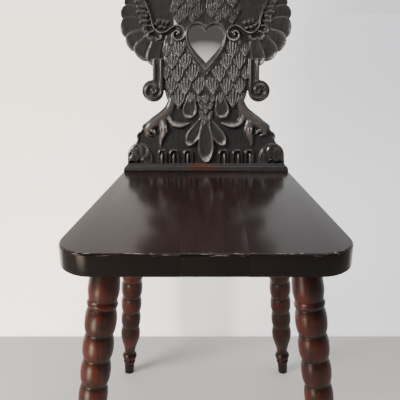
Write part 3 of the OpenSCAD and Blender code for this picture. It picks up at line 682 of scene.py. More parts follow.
def edge_points(i, steps=8):
    """Points along one bulging edge of the outline."""
    p, q, bulge = corners[i], corners[i + 1], outline_shares[i][2]
    if bulge == 0:
        return [p]
    d = q - p
    out = Vector((d.y, -d.x))
    return [p + d * t + out * bulge * 4 * t * (1 - t) for t in (k / steps for k in range(steps))]


def mirror_image(points):
    """The points on the board's other side, in reverse, so that they lead back."""
    return [(-x, y) for x, y in reversed(points)]


right_half = [point for i in range(len(outline_shares)) for point in edge_points(i)]
outline = right_half + [corners[-1]] + mirror_image(right_half)
print("outline points", len(outline))


# %% The heart, as two circles and two flanks
def arc(x, y, across, up, start, end, steps):
    """Points on an arc of an ellipse, with its angles in degrees."""
    angles = [(start + (end - start) * i / steps) * deg for i in range(steps + 1)]
    return [(x + across * math.cos(angle), y + up * math.sin(angle)) for angle in angles]


def heart(grow, steps=20):
    """The heart opening's outline, grown by a width."""
    lobe_radius, lobe_x, lobe_y, point_y = 17.8 + grow, 16.7, 256.5, 203.7 - grow * 4.3
    flank = []
    for i in range(steps):
        t = i / steps
        x = 34.5 * math.sin(math.pi / 2 * t) ** 1.08 + grow * math.sqrt(t)
        flank.append((x, point_y + (lobe_y - point_y) * t))
    inner = math.acos(-lobe_x / lobe_radius) / deg
    right = flank + arc(lobe_x, lobe_y, lobe_radius, lobe_radius, 0, inner, steps)
    return right + mirror_image(right[1:-1])


print("heart points", len(heart(0)))

# %% [markdown]
# ## The sawn blank
# Saw first, carve later. The outline and the heart are two closed loops. Filling between them
# gives a plate with a hole, and one extrusion makes it a plank whose top is the sunk ground.

# %% Saw the blank and the two volute stems
def paint_carving(piece, rub_and_sheen=0.0):
    """Gives the piece the painted value that the finish reads, and one rub and painted sheen all over."""
    paint = piece.data.color_attributes.new("carving", "FLOAT_COLOR", "POINT")
    for value in paint.data:
        value.color = (rub_and_sheen, 0, 0, 1)
    return paint


def saw_plank(name, loops, bottom, top, rub_and_sheen=0.06):
    """Fills between loops, extrudes them to a plank, and paints how much it is rubbed and how much painted
    sheen it gets.
    """
    piece = join([edge_ring(name, [(x, y, bottom) for x, y in points]) for points in loops], name)
    with editing(piece):
        bpy.ops.mesh.fill(use_beauty=True)
        bpy.ops.mesh.extrude_region_move(TRANSFORM_OT_translate={"value": (0, 0, (top - bottom) / mm)})
        bpy.ops.mesh.select_all(action="SELECT")
        bpy.ops.mesh.normals_make_consistent(inside=False)
    paint_carving(piece, rub_and_sheen)
    return piece


def disc(x, y, radius, steps=48):
    """Points on a circle."""
    return arc(x, y, radius, radius, 0, 360, steps)[:-1]


volute = Vector((102.4, 152))
foot = [(151.5, 22), (153, -6), (-153, -6), (-151.5, 22)]
forms = [saw_plank("blank", [outline, heart(0.2)], board_back, ground),
         saw_plank("blank_foot", [foot], board_back, ground)]
for side in (-1, 1):
    forms.append(saw_plank("volute_disc", [disc(side * volute.x, volute.y, 20.2)], board_back, -4.5))
    stem = [(side * x, y) for x, y in ((82.2, 152), (102.2, 152), (102.2, 212), (82.2, 212))]
    forms.append(saw_plank("volute_stem", [stem], board_back, -5))
print("blank made of", len(forms), "sawn parts")

# %% [markdown]
# ## A slab and its formula
# Every carved form starts as the same thing: a grid, extruded down to a closed slab. A formula
# then tells each point where to go, from s, its place along the form, and t, its place across
# it. The formula also paints three values that the finish will use later: how much the point
# is rubbed by hands and lit by a painted sheen, where it lies in the pattern of fine barbs, and
# whether it has barbs.

# %% Helpers that shape slabs
root_height = -14


def slab(name, rows, columns, shape):
    """A closed slab. shape(s, t) gives x, y, z in mm, the rub with its painted sheen, and the barbs' phase
    and weight.
    """
    only(camera)
    bpy.ops.mesh.primitive_grid_add(x_subdivisions=columns, y_subdivisions=rows, size=2)
    piece = bpy.context.object
    piece.name = name
    with editing(piece):
        bpy.ops.mesh.extrude_region_move(TRANSFORM_OT_translate={"value": (0, 0, -1)})
    paint = paint_carving(piece)
    for vertex in piece.data.vertices:
        x, y, z, rub_and_sheen, phase, barbs = shape((vertex.co.y + 1) / 2, vertex.co.x)
        if vertex.co.z < -0.5:
            z, rub_and_sheen = root_height, 0
        vertex.co = (x / mm, y / mm, z / mm)
        paint.data[vertex.index].color = (rub_and_sheen, phase, barbs, 1)
    return piece


def set_down(master, name, x, y, turn, height=0, lift=0, size=1, roll=0):
    """A copy of a master slab, with its own mesh, set down on the board. turn is in degrees."""
    piece = twin_of(master, name)
    piece.data.transform(Matrix.Translation((x / mm, y / mm, height / mm))
                         @ Matrix.Rotation(turn * deg, 4, "Z") @ Matrix.Rotation(lift * deg, 4, "X")
                         @ Matrix.Rotation(roll * deg, 4, "Y") @ Matrix.Scale(size, 4))
    return piece


def add_form(piece, both=True):
    """Keeps a form for the board, and its mirror image on the other side."""
    forms.append(piece)
    if both:
        twin = twin_of(piece, piece.name)
        twin.data.transform(Matrix.Scale(-1, 4, (1, 0, 0)))
        twin.data.flip_normals()
        forms.append(twin)


def smooth_path(points, steps):
    """A smooth path through rows of numbers, with steps between each two."""
    rows = [points[0]] + list(points) + [points[-1]]
    path = []
    for i in range(1, len(rows) - 2):
        for k in range(steps):
            t = k / steps
            path.append([0.5 * (2 * b + (c - a) * t + (2 * a - 5 * b + 4 * c - d) * t * t
                                + (3 * b - a - 3 * c + d) * t ** 3)
                         for a, b, c, d in zip(*rows[i - 1:i + 3])])
    return path + [list(points[-1])]


def ridge(name, points, steps=5, columns=7, rub_and_sheen=1.0, flat=0.75):
    """A rounded ridge along (x, y, width, height) points."""
    path = smooth_path(points, steps)
    last = len(path) - 1

    def shape(s, t):
        i = round(s * last)
        x, y, width, height = path[i]
        ahead, behind = path[min(i + 1, last)], path[max(i - 1, 0)]
        aim = Vector((ahead[0] - behind[0], ahead[1] - behind[1])).normalized()
        turn = t * math.pi / 2
        offset = width / 2 * math.sin(turn)
        z = height - width / 2 * flat * (1 - math.cos(turn))
        return x + aim.y * offset, y - aim.x * offset, z, rub_and_sheen * math.cos(turn) ** 2, 0, 0

    return slab(name, last, columns, shape)


def add_ridges(name, ridges, steps=5, columns=7, rub_and_sheen=1.0, flat=0.75, both=True):
    """Adds several ridges of one kind."""
    for points in ridges:
        add_form(ridge(name, points, steps, columns, rub_and_sheen, flat), both)


def knob(name, x, y, width, height, length, rub_and_sheen=1.0, both=True):
    """A round knob, as a ridge that is hardly longer than it is wide."""
    ends = [(x - length / 2, y, width, height), (x + length / 2, y, width, height)]
    add_form(ridge(name, ends, 3, 7, rub_and_sheen, 1.0), both)


def spiral(x, y, radius, end_radius, start, sweep, width, end_width, height, end_height, steps):
    """Points of a scroll, to go on a ridge's path. Angles are in degrees."""
    rows = []
    for i in range(steps + 1):
        t = i / steps
        r = radius + (end_radius - radius) * t
        a = (start + sweep * t) * deg
        rows.append((x + r * math.cos(a), y + r * math.sin(a), width + (end_width - width) * t,
                     height + (end_height - height) * t))
    return rows


print("carving helpers ready")

# %% [markdown]
# ## Feather masters
# A carved feather is a leaf: narrow at the quill, widest in the middle and pointed at the tip.
# The carver gives it a strong middle rib and two ribs on each side, with V-shaped gouge cuts
# between them, so that one feather catches the light as a bundle of streaks. One master covers
# the breast, thighs and necks in several sizes. A second kind, scooped out inside a rim, makes
# the tail and the wings. Modelling each feather by itself would only make them stiff.

# %% Ribbed and scooped feathers
masters = []
feather_length = 35


def leaf_half(s, root, fullness, power):
    """Half the width of a leaf at s, as a share of its greatest half width."""
    return max(0.0, math.sin(math.pi * min(1, root + (1 - root) * s ** fullness))) ** power


def bump_at(value, centre, spread):
    """A smooth bump of height 1."""
    return math.exp(-((value - centre) / spread) ** 2)


def feather_master(name, rows, columns, shape):
    """A slab to copy feathers from, which is removed at the end."""
    piece = slab(name, rows, columns, shape)
    clean_up(piece, 0.00005)
    masters.append(piece)
    return piece


def ribbed_master(name, length, width, rib, dome, rows=22, columns=30):
    """A pointed feather with five ribs that meet at its tip, its quill at the origin, tip towards -y."""
    def shape(s, t):
        half = width / 2 * leaf_half(s, 0.27, 0.95, 0.9)
        strength = min(1, 4 * s + 0.3) * min(1, 5 * (1 - s) + 0.35)
        ribs = bump_at(t, 0, 0.12) + 0.85 * bump_at(abs(t), 0.45, 0.11) + 0.6 * bump_at(abs(t), 0.82, 0.1)
        cuts = bump_at(abs(t), 0.23, 0.1) + bump_at(abs(t), 0.64, 0.1)
        z = dome * (1 - t * t) * (1 - 0.4 * s) + rib * (ribs - 0.9 * cuts) * strength
        rub_and_sheen = min(1, max(0, 1.25 * ribs - 0.3) * strength + 0.2 * s)
        return half * t, -length * s, z, rub_and_sheen, (s * length - abs(t) * half * 0.9) / 1.9, 0.7
    return feather_master(name, rows, columns, shape)


def scooped_master(name, length, width, rim, scoop, root, fullness, power, rows=20, columns=16, lap=0.0,
                   edge_width=0.11, stipple=0.0, wear_and_sheen=0.85, blade=0.1):
    """A feather whose blade is hollowed inside a rim. lap lowers one rim under its neighbour."""
    def shape(s, t):
        half = width / 2 * leaf_half(s, root, fullness, power)
        tip = max(0, (s - 0.84) / 0.16)
        edge = bump_at(t, 0.92, edge_width) + (1 - lap) * bump_at(t, -0.92, edge_width)
        edge = max(edge, bump_at(tip, 0.72, 0.4) if tip else 0)
        hollow = -scoop * (1 - t * t) * (0.35 + 0.65 * bump_at(s, 0.76, 0.2)) * min(1, 6 * s)
        punched = stipple * math.sin(s * length * 1.7) * math.sin(t * half * 1.9) * bump_at(s, 0.92, 0.1)
        z = rim * edge + hollow + lap * 1.3 * t + punched
        rub_and_sheen = (wear_and_sheen + (0.9 - wear_and_sheen) * s ** 2) * edge + blade + 0.8 * max(0, punched)
        return half * t, -length * s, z, min(1, rub_and_sheen), t * half / 1.5, 0.55
    return feather_master(name, rows, columns, shape)


def pointing(quill, tip):
    """A feather's length from its quill to its tip, and its turn in degrees."""
    aim = Vector(tip) - Vector(quill)
    return aim.length, math.atan2(aim.y, aim.x) / deg + 90


ribbed_feather = ribbed_master("ribbed_feather", feather_length, 25, 1.5, 1.4)
print("ribbed feather", len(ribbed_feather.data.polygons), "faces")

# %% [markdown]
# ## Breast and thighs
# The breast is a low rounded mass. Its feathers lie on it in staggered rows, placed from a list
# so that they stay clear of the heart, as the carver drew them on the wood. The lowest row,
# with the largest feather, makes the thighs. Small ones fill the gaps beside the heart.

# %% Breast mass
breast_edge = [(46, 131), (62, 139), (75, 149), (79, 162), (79, 200), (79, 243), (70, 262), (58, 274)]
breast_path = smooth_path(breast_edge, 4)
breast_top, breast_rim = -4.2, -7.4


def breast_mass(s, t):
    """A rounded mass over the board's middle line, inside an edge that runs upward."""
    x, y = breast_path[round(s * (len(breast_path) - 1))]
    return x * t, y, breast_rim + (breast_top - breast_rim) * (1 - t * t) ** 0.6, 0.05, 0, 0


add_form(slab("breast", len(breast_path) - 1, 14, breast_mass), both=False)
print("breast mass of", len(breast_path), "rows")

# %% Breast and thigh feathers: middle across, middle up, size, turn
breast_places = [
    (52, 138, 1.14, -3), (30, 141, 0.78, -5), (69, 142, 0.74, 7),
    (13.6, 160, 1.0, 2), (40, 160, 1.03, -3), (65, 161, 1.0, 3), (0, 169, 0.6, 0), (7.5, 179, 0.6, -8),
    (26, 184, 1.02, 4), (54, 184, 1.05, -2), (76, 186, 0.85, 5),
    (14.5, 197, 0.66, -12), (39, 206, 1.0, 3), (64.5, 208, 1.02, 1), (22.5, 212, 0.68, -14),
    (31, 226, 0.72, -12), (51.5, 230, 1.03, -2), (74, 230, 0.85, 4),
    (40, 244, 0.55, -8), (64, 249, 0.62, 4)]
breast_half_width = 80
small_feather = 0.9


def add_feather(name, x, y, size, turn, height, lift, roll=0):
    """Sets a ribbed feather down by its middle, on both sides unless it is on the middle line."""
    reach = feather_length / 2 * size
    quill_x, quill_y = x - math.sin(turn * deg) * reach, y + math.cos(turn * deg) * reach
    add_form(set_down(ribbed_feather, name, quill_x, quill_y, turn, height, -lift, size, roll), both=x > 0)


for i, (x, y, size, turn) in enumerate(breast_places):
    mound = 2.6 * (1 - (x / breast_half_width) ** 2)
    tucked = 0.9 if size < small_feather else 0
    roll = x / 14 + 3 * math.sin(2.4 * i) if x > 0 else 0
    add_feather("breast_feather", x, y, size, turn, ground - 0.4 + mound - tucked, 7.5, roll)
print("breast feathers", 2 * len(breast_places))

# %% [markdown]
# ## The tail
# Five scooped feathers fan out below the breast. The middle one is the longest and reaches the
# plinth. Their rims catch the light, and small feathers cover their roots.

# %% Tail feathers: quill, tip, width and height
tail_feathers = [((27, 145), (33.5, 99), 27, -5.4), ((4, 99), (36, 47), 23, -4.8),
                 ((0, 103), (0, 14), 30, -4.0)]
# Root feathers: middle across, middle up, size
root_feathers = [(0, 96, 0.5), (7.5, 105, 0.5), (0, 115, 0.52), (8.5, 124, 0.55), (0, 135, 0.6),
                 (13, 139, 0.6)]
for quill, tip, width, height in tail_feathers:
    length, turn = pointing(quill, tip)
    master = scooped_master("tail_master", length, width, rim=2.0, scoop=1.4, root=0.09, fullness=1.75,
                            power=0.6, rows=30, columns=20, edge_width=0.14, stipple=0.8, wear_and_sheen=0.3,
                            blade=0.34)
    add_form(set_down(master, "tail_feather", *quill, turn, height, -2.2), both=quill[0] > 0)
for x, y, size in root_feathers:
    add_feather("tail_root_feather", x, y, size, 0, -4.8 if x == 0 else -6.4, 9)
print("tail done,", len(forms), "forms")

# %% [markdown]
# ## Legs and claws
# The shanks are bare, so they are plain rounded ridges, thick at the thigh and knuckled at the
# toes. Each foot has three toes with hooked claws. A ridge along a smooth path does all of
# this with a few rows of numbers, for each point across, up, width and height.

# %% Shanks, toes and claws
shank = [(64, 138, 17, -3.6), (67.5, 124, 19, -2.6), (74, 112, 22, -1.4), (84.5, 101, 25, -0.6),
         (97, 92, 25, -0.6), (106, 86, 21, -0.8)]
outer_toe = [(98, 92, 22, -0.6), (107, 84.5, 19, 0), (112.6, 76.5, 14.5, -0.8), (110.5, 69, 8.5, -1.8),
             (103, 65.5, 2, -4.2)]
middle_toe = [(86, 97, 17, -1.0), (83, 87, 19, 0.1), (81.5, 77.5, 16.5, -0.9), (83.5, 69, 16, -0.1),
              (86.5, 60, 10.5, -1.4), (88, 52.5, 6, -2.6), (87, 45.5, 1.8, -4.6)]
toe_scales = [((76.5, 85), (75, 72)), ((82.5, 83), (81, 70)), ((88, 82), (86.5, 72))]
inner_toe = [(77, 108, 11, -2.8), (70.5, 99, 11, -1.4), (65, 90.5, 10.5, -1.4), (56.5, 86, 10.5, -0.6),
             (47, 85.6, 9.6, -1.0), (39, 87.5, 6.4, -2.2), (31.5, 91, 1.8, -4.4)]
claws = [(104.5, 75.5), (98, 72.5)]
add_ridges("shank", [shank], 5, 13, 0.65)
add_ridges("outer_toe", [outer_toe], 5, 11, 0.8)
add_ridges("middle_toe", [middle_toe], 5, 11, 1.0)
add_ridges("toe_scale", [[(x, y, 3, 0), ((x + end_x) / 2, (y + end_y) / 2, 4, 0.9), (end_x, end_y, 2.4, -0.2)]
                         for (x, y), (end_x, end_y) in toe_scales], 4, 7, 1.5)
add_ridges("inner_toe", [inner_toe], 5, 11, 1.05)
add_ridges("claw", [[(x + 3, y + 4, 6.5, -1.2), (x, y - 0.5, 5.5, -1.4), (x - 3, y - 3.5, 1.6, -4)]
                    for x, y in claws], 4, 7, 1.3)
print("legs and claws done")

# %% [markdown]
# ## Volutes
# On each side a flat band comes down from the wing and rolls up into a scroll. It is carved as
# one long ridge that follows the band's outer edge and then winds inwards, beside a second
# ridge on the band.

# %% Stems and scrolls
winding = [(85.4, 211, 6, -1.6), (85.4, 190, 6, -1.2), (85.4, 170, 6, -0.8), (85.4, 158, 6, -0.6)]
winding += spiral(volute.x, volute.y, 17.1, 5, 186, 450, 6.2, 4.6, -0.4, -0.2, 30)
stem_ridge = [(98.6, 211, 6, -1.8), (98.6, 192, 6, -1.6), (98.6, 176, 6, -1.9), (98.4, 169, 4.5, -3)]
add_ridges("volute_ridge", [winding], 3, 9, 0.3)
add_ridges("stem_ridge", [stem_ridge], 5, 7, 0.6)
knob("volute_eye", volute.x, volute.y, 5.5, -0.8, 4.4, 0.5)
print("volutes done")

# %% [markdown]
# ## Plinth: arches, shells and the terraced edge
# The plinth carries a row of small arches with a pillar in each, and a shell at each end. They
# are shallow and worn, so their ridges are low and wide.

# %% Arches with their pillars: middle and width
for x, width in ((34.2, 18.4), (61.2, 19), (84.2, 16.4)):
    half, crown_y = width / 2 - 1.2, 39 - width / 2
    arch = [(x - half, 10, 2.4, -4), (x - half, 20, 2.6, -3)]
    arch += [(a, b, 2.8, -2.4) for a, b in arc(x, crown_y, half, half, 180, 0, 6)]
    arch += [(x + half, 20, 2.6, -3), (x + half, 10, 2.4, -4)]
    pillar = [(x + 1.6, 10, 4.6, -5), (x + 1.8, 21, 5.4, -2.6), (x + 1.2, crown_y + 2, 3.4, -4)]
    add_ridges("arch", [arch], 3, 7, 0.45)
    add_ridges("pillar", [pillar], 4, 7, 1.0)
print("arches done")

# %% Shells at the plinth's ends
shell_x, shell_y = 127.5, 15.5
flutes = 9


def shell(s, t):
    """Half a scallop shell: s runs outward from its hinge, t round it. The flutes curl one way."""
    angle = (90 - 100 * t + 16 * math.sin(math.pi * s)) * deg
    flute = math.cos(flutes * math.pi * t / 2)
    reach = 4 + (20.4 + 0.5 * flute) * s
    z = -6.4 + 3.4 * math.sin(math.pi * min(1, 0.15 + 0.72 * s)) + 1.2 * flute * s
    return (shell_x + reach * math.cos(angle), shell_y + reach * 1.42 * math.sin(angle), z,
            0.15 + 0.35 * max(0, flute) * s, 0, 0)


add_form(slab("shell", 12, 60, shell))
shell_rim = [(x, y, 2.8, -3.6) for x, y in arc(shell_x, shell_y, 23.4, 33.6, -4, 176, 18)]
shell_curl = spiral(shell_x - 2, shell_y + 6, 7.5, 2, -20, 330, 2.6, 2.2, -3, -2.6, 14)
add_ridges("shell_rim", [shell_rim], 3, 7, 0.5)
add_ridges("shell_curl", [shell_curl], 3, 7, 0.6)
print("shells done")

# %% Terraced edges beside the claws
terrace = [Vector((151, 14)), *edge_points(0), *edge_points(1), *edge_points(2), corners[3]]
terrace_inset = 2.4
inset_edge = []
for i, point in enumerate(terrace):
    aim = (terrace[min(i + 1, len(terrace) - 1)] - terrace[max(i - 1, 0)]).normalized()
    inset_edge.append((point.x - aim.y * terrace_inset, point.y + aim.x * terrace_inset, 4.2, -4.4))
add_ridges("terrace", [inset_edge[::2]], 2, 7, 0.6)
print("terraces done")

# %% [markdown]
# ## The wings
# Each wing is a fan of eight scooped feathers, one for each scallop of the outline, shingled
# so that each laps over the next. Small curled coverts hide their roots, and a wire-thin bead
# runs from a scroll at the shoulder, round the wing's inner side, to a curl beside the heart.

# %% Wing feathers
wing_quills = [(92, 246), (100, 250), (107, 257), (111, 269), (111.5, 286), (113.5, 302), (117, 316),
               (122, 329)]
punched_feathers = 4
for i, quill in enumerate(wing_quills):
    edge = first_wing_edge + i
    p, q, bulge = corners[edge], corners[edge + 1], outline_shares[edge][2]
    d = q - p
    length, turn = pointing(quill, p + d / 2 + Vector((d.y, -d.x)) * bulge)
    stipple, wear_and_sheen, blade = (0.6, 0.2, 0.3) if i < punched_feathers else (0.0, 0.1, 0.1)
    master = scooped_master("wing_master", length * 0.998, d.length * 1.2, rim=0.3, scoop=2.0, root=0.2,
                            fullness=2.2, power=0.42, rows=26, columns=22, lap=0.8, edge_width=0.1,
                            stipple=stipple, wear_and_sheen=wear_and_sheen, blade=blade)
    add_form(set_down(master, "wing_feather", *quill, turn, -4.9, -2.3))
print("wing feathers", 2 * len(wing_quills))

# %% Coverts: bars that end in knobs, hooks lower down, and leaves on the ground
covert_bars = [((129, 326), (137, 328)), ((121, 316), (131.5, 317)), ((114.5, 306.5), (127.5, 307.5)),
               ((110.5, 298), (128, 298)), ((108.5, 290), (123, 289.5)), ((106.5, 281.5), (122.5, 280))]
covert_hooks = [[(103.5, 272.5), (111, 273), (117.5, 270), (118.5, 263.5), (114, 260.5), (110.8, 263.5)],
                [(98.5, 262.8), (106, 261), (110.3, 255.6), (108, 249.4), (102, 248.2), (99.8, 252)],
                [(83.5, 255), (86, 249.4), (91, 247.2), (96.6, 250)]]
ground_leaves = [((71, 281), (75, 274)), ((79, 283), (82, 275)), ((88, 285), (88.5, 277)),
                 ((98, 277.5), (91.5, 273)), ((83, 271), (89.5, 268.5)), ((75.5, 270), (80, 266.5))]
add_ridges("covert_bar", [[(x, y, 4, -3.4), ((x + end_x) / 2, (y + end_y) / 2, 5.2, -2.4),
                           (end_x - 2, end_y, 4.4, -2.6), (end_x, end_y, 6, -1.2),
                           (end_x + 2.4, end_y, 3.4, -2.4)]
                          for (x, y), (end_x, end_y) in covert_bars], 4, 7, 0.85)
add_ridges("covert_hook", [[(x, y, 4.4 - 0.3 * k, -1.8) for k, (x, y) in enumerate(hook)]
                           for hook in covert_hooks], 4, 7, 0.9)
add_ridges("ground_leaf", [[(x, y, 3.6, -4.6), ((x + end_x) / 2 + 0.8, (y + end_y) / 2 + 0.6, 6.4, -3),
                            (end_x, end_y, 2.6, -5)] for (x, y), (end_x, end_y) in ground_leaves], 4, 7, 0.75)
print("coverts done")

# %% Bead wire and curls
bead_wire = spiral(115, 349, 4, 13.5, 412, -420, 2.6, 2.8, -0.2, 0.2, 24)
bead_wire += [(x, y, 2.8, 0.2) for x, y in ((126.6, 338), (122.3, 329), (116.7, 320), (110, 305), (104, 288),
                                            (100.5, 272), (93, 262.4), (83, 259.4))]
bead_wire += [(73, 263.5, 2.8, 0.3), (65, 269.4, 2.8, 0.4)]
bead_wire += spiral(54, 257, 16.2, 4.2, 75, 440, 3, 4.2, 0.5, 0.2, 26)
add_ridges("bead_wire", [bead_wire], 3, 7, 1.3, 0.9)
add_ridges("curl_eye", [[(53, 256.4, 5.5, 0), (56, 257.6, 5.5, 0)]], 3, 7, 1.0, 1.0)
print("bead wire of", len(bead_wire), "points")


# %% The heart's band and rims
def heart_line(flank_grow, lobe_grow):
    """Points round the heart, further out on its flanks than on its lobes."""
    line = []
    for (x, y), (lobe_x, lobe_y) in zip(heart(flank_grow, 14), heart(lobe_grow, 14)):
        low = min(1, max(0, (258 - y) / 24))
        line.append((x * low + lobe_x * (1 - low), y * low + lobe_y * (1 - low)))
    return line


def closed(points, width, height):
    """A ridge's points that end where they start."""
    return [(x, y, width, height) for x, y in points + points[:1]]


add_form(saw_plank("heart_band", [heart_line(4.2, 2.6)], root_height, -1.4, 0.45), both=False)
add_ridges("heart_rim", [closed(heart_line(3.0, 2.8), 3.0, 1.4)], 2, 9, 1.0, 0.8, both=False)
add_ridges("heart_edge", [closed(heart_line(5.2, 3.6), 2.4, -0.6)], 2, 7, 0.3, 0.8, both=False)
print("beads and rims done")

# %% [markdown]
# ## Necks, heads and crown
# Two necks part above the heart, each with long feathers and a head in profile that looks
# outward, and one crown spans both. This is the old double-headed eagle of heraldry. The heads
# are built as a skull mound with ridges on it for the brow, the cheek and the hooked beak.

# %% Necks
neck_foot, neck_length = 268, 112
neck_top, neck_rim = -3, -7.7


def neck_edge(y):
    """The inner and outer edge of the right neck at a height."""
    t = (y - neck_foot) / neck_length
    return 0.2 + 3.5 * max(0, t) ** 2, 60.5 + 10 * max(0, t - 0.15) ** 1.4


def neck_mass(s, t):
    """A rounded mass that stays high towards the other neck."""
    y = 262 + 122 * s
    inner, outer = neck_edge(y)
    rim = neck_rim if t > 0 else neck_rim + 2.4 * t * t
    x = (inner + outer) / 2 + (outer - inner) / 2 * t
    return x, y, rim + (neck_top - rim) * (1 - t * t) ** 0.7, 0.15, 0, 0


add_form(slab("neck", 16, 12, neck_mass))
# Neck feathers: middle across, middle up, size, turn
neck_places = [
    (24, 291, 0.8, 2), (50, 290, 0.86, 4), (38, 300, 0.95, 4), (12, 301, 0.85, 1), (60, 305, 0.7, 8),
    (25, 320, 0.98, 4), (51, 321, 0.98, 7), (11, 327, 0.7, 2), (38, 341, 0.98, 7), (62, 342, 0.8, 12),
    (15, 345, 0.92, 3), (27, 363, 0.95, 8), (52, 362, 0.95, 12), (14, 375, 0.7, 6), (38, 384, 0.85, 14)]
for x, y, size, turn in neck_places:
    inner, outer = neck_edge(y)
    across = (x - inner) / (outer - inner) * 2 - 1
    fall = 1 if across > 0 else 0.4
    add_feather("neck_feather", x, y, size, turn, -5.0 - 2.8 * across ** 2 * fall, 5.5, 13 * across)
print("neck feathers", 2 * len(neck_places))

# %% Heads, beaks and eyes
skull_foot, skull_length, skull_half, skull_x = 369, 30, 19, 66


def skull(s, t):
    """A flattened egg over the head's outline."""
    angle = t * math.pi / 2
    roundness = math.sqrt(max(0, 1 - (2 * s - 1) ** 2))
    x = skull_x + (skull_half * roundness * 0.98 + 1) * math.sin(angle) - 2 * s
    z = -6.5 + 7.6 * math.cos(angle) * roundness
    return x, skull_foot + skull_length * s, z, 0.5 * math.cos(angle), 0, 0


upper_beak = [(72, 380, 13, -1.2), (80, 379.5, 13, 0), (87, 376.5, 11.5, 0.6), (92.5, 370.5, 8.5, 0.4),
              (95.3, 362, 6, -0.4), (95.2, 355, 3.2, -1.6), (94, 350.5, 1, -3)]
lower_beak = [(70, 366.5, 8.5, -2.2), (77, 363.8, 7.5, -1.6), (84, 361.5, 5.5, -1.8), (90.5, 358.2, 2, -3)]
tongue = [(78, 369, 2.6, -3), (86, 366.5, 2.2, -2.6), (91.5, 362.5, 1.2, -3)]
brow = [(56, 391, 3, -1.4), (64, 393, 4.6, 0.4), (72, 391.3, 5, 1.2), (79, 387.3, 3.6, 0.8),
        (84, 383.5, 2, 0)]
cheek = [(62, 372, 3, -2), (68, 374.4, 4.4, -0.6), (74.5, 373.6, 4, -0.6), (79.5, 371, 2, -1.6)]
eye_x, eye_y = 71.3, 384
# Head feathers: middle across, middle up, size, turn
head_places = [(58, 368, 0.5, 12), (69, 361, 0.42, 4), (47, 377, 0.5, -30), (44, 386, 0.5, -58),
               (46, 394, 0.48, -84)]
add_form(slab("skull", 14, 12, skull))
add_ridges("upper_beak", [upper_beak], 5, 9, 0.9)
add_ridges("lower_beak", [lower_beak], 5, 7, 0.8)
add_ridges("tongue", [tongue], 4, 5, 0.6)
add_ridges("brow", [brow], 5, 7, 1.0)
add_ridges("cheek", [cheek], 5, 7, 0.8)
add_ridges("eye_ring", [closed(disc(eye_x, eye_y, 3.9, 14), 1.8, 0.6)], 2, 5, 0.9)
knob("eye", eye_x, eye_y, 3.6, 1.1, 1.4, 0.6)
for x, y, size, turn in head_places:
    add_feather("head_feather", x, y, size, turn, -6.4, 8)
print("heads done")

# %% Crown: a band with pearls, and leaves that end in buds
crown_band = [(-33, 401.5, 7.4, -0.8), (-16, 403.4, 7.6, -0.2), (0, 404, 7.8, 0), (16, 403.4, 7.6, -0.2),
              (33, 401.5, 7.4, -0.8)]
crown_leaves = [((26, 407), (34.5, 428), 10), ((14, 408), (14, 435), 9.6), ((0, 408), (0, 440), 8.6)]
pearl_places = [(0, 404), (8.6, 403.8), (17.2, 403.2), (25.8, 402.2)]
add_ridges("crown_band", [crown_band], 6, 9, 0.8, 0.5, both=False)
for x, y in pearl_places:
    knob("crown_pearl", x, y, 4.6, 1.3, 1.8, both=x > 0)
for quill, tip, width in crown_leaves:
    length, turn = pointing(quill, tip)
    leaf = scooped_master("crown_point", length, width, rim=1.2, scoop=1.0, root=0.3, fullness=1.0,
                          power=0.55, rows=12, columns=10)
    add_form(set_down(leaf, "crown_leaf", *quill, turn, -3.4, -1.5), both=quill[0] > 0)
    knob("crown_bud", tip[0], tip[1] - 1, 4.8, 0.2, 1.8, both=quill[0] > 0)
print("crown done,", len(forms), "forms in all")

# %% [markdown]
# ## One piece of wood
# So far the carving is hundreds of slabs that stand in each other. A Boolean union of them all
# would be slow and would leave slivers. A voxel remesh turns everything into one closed skin,
# as if it were cut from one plank. A light smoothing takes off the voxel steps, and Decimate
# spends the triangles where the relief is. The heart is sawn last, so that its edge stays
# crisp, and the painted values are then copied back from the slabs to the new skin.

# %% Melt the forms together
voxel = 0.00095
triangle_goal = 165000

rough = join(forms, "rough_forms")
carved = twin_of(rough, "carved_board")
apply_modifier(carved, "REMESH", mode="VOXEL", voxel_size=voxel, adaptivity=0)
print("voxel skin", len(carved.data.polygons), "faces")
apply_modifier(carved, "SMOOTH", factor=0.5, iterations=2)
apply_modifier(carved, "DECIMATE", ratio=min(1, triangle_goal / (2 * len(carved.data.polygons))))
print("carved skin", len(carved.data.polygons), "faces")

# %% Saw the heart through the finished relief
heart_saw = saw_plank("heart_saw", [heart(0)], -40, 20)
apply_modifier(carved, "BOOLEAN", operation="DIFFERENCE", solver="EXACT", object=heart_saw)
bpy.data.objects.remove(heart_saw)
print("with the heart", len(carved.data.polygons), "faces")

# %% Copy the painted values to the new skin
if not carved.data.color_attributes.get("carving"):
    paint_carving(carved)
apply_modifier(carved, "DATA_TRANSFER", object=rough, use_vert_data=True,
               data_types_verts={"COLOR_VERTEX"}, vert_mapping="POLYINTERP_NEAREST")
print("painted values", [(a.name, a.domain, a.data_type) for a in carved.data.color_attributes])

# %% [markdown]
# ## The ledge, and standing the board up
# A moulded ledge in two steps runs along the foot of the carving. It is a simple section, so it
# stays a crisp profile of its own and isn't remeshed. The board is then stood up at its lean,
# cut level with the seat, and given the two long tenons of the CAD board.

# %% Moulded ledge
def ledge_band(name, low, high, wide, narrow, out, rub_and_sheen):
    """A straight strip of the moulding, which narrows upward."""
    middle = low + (high - low) * 0.6
    edge = [(wide, low), (wide, middle), (narrow, high)]
    strip = saw_plank(name, [edge + mirror_image(edge)], board_back, out, rub_and_sheen)
    soften(strip, 0.0009, 3)
    return strip


ledge = join([ledge_band("ledge", -6, 8.6, 158, 155, 11, 0.36),
              ledge_band("ledge_step", -6, 12.6, 154.5, 152, 4.5, 0.1)], "ledge")
print("ledge", len(ledge.data.polygons), "faces")

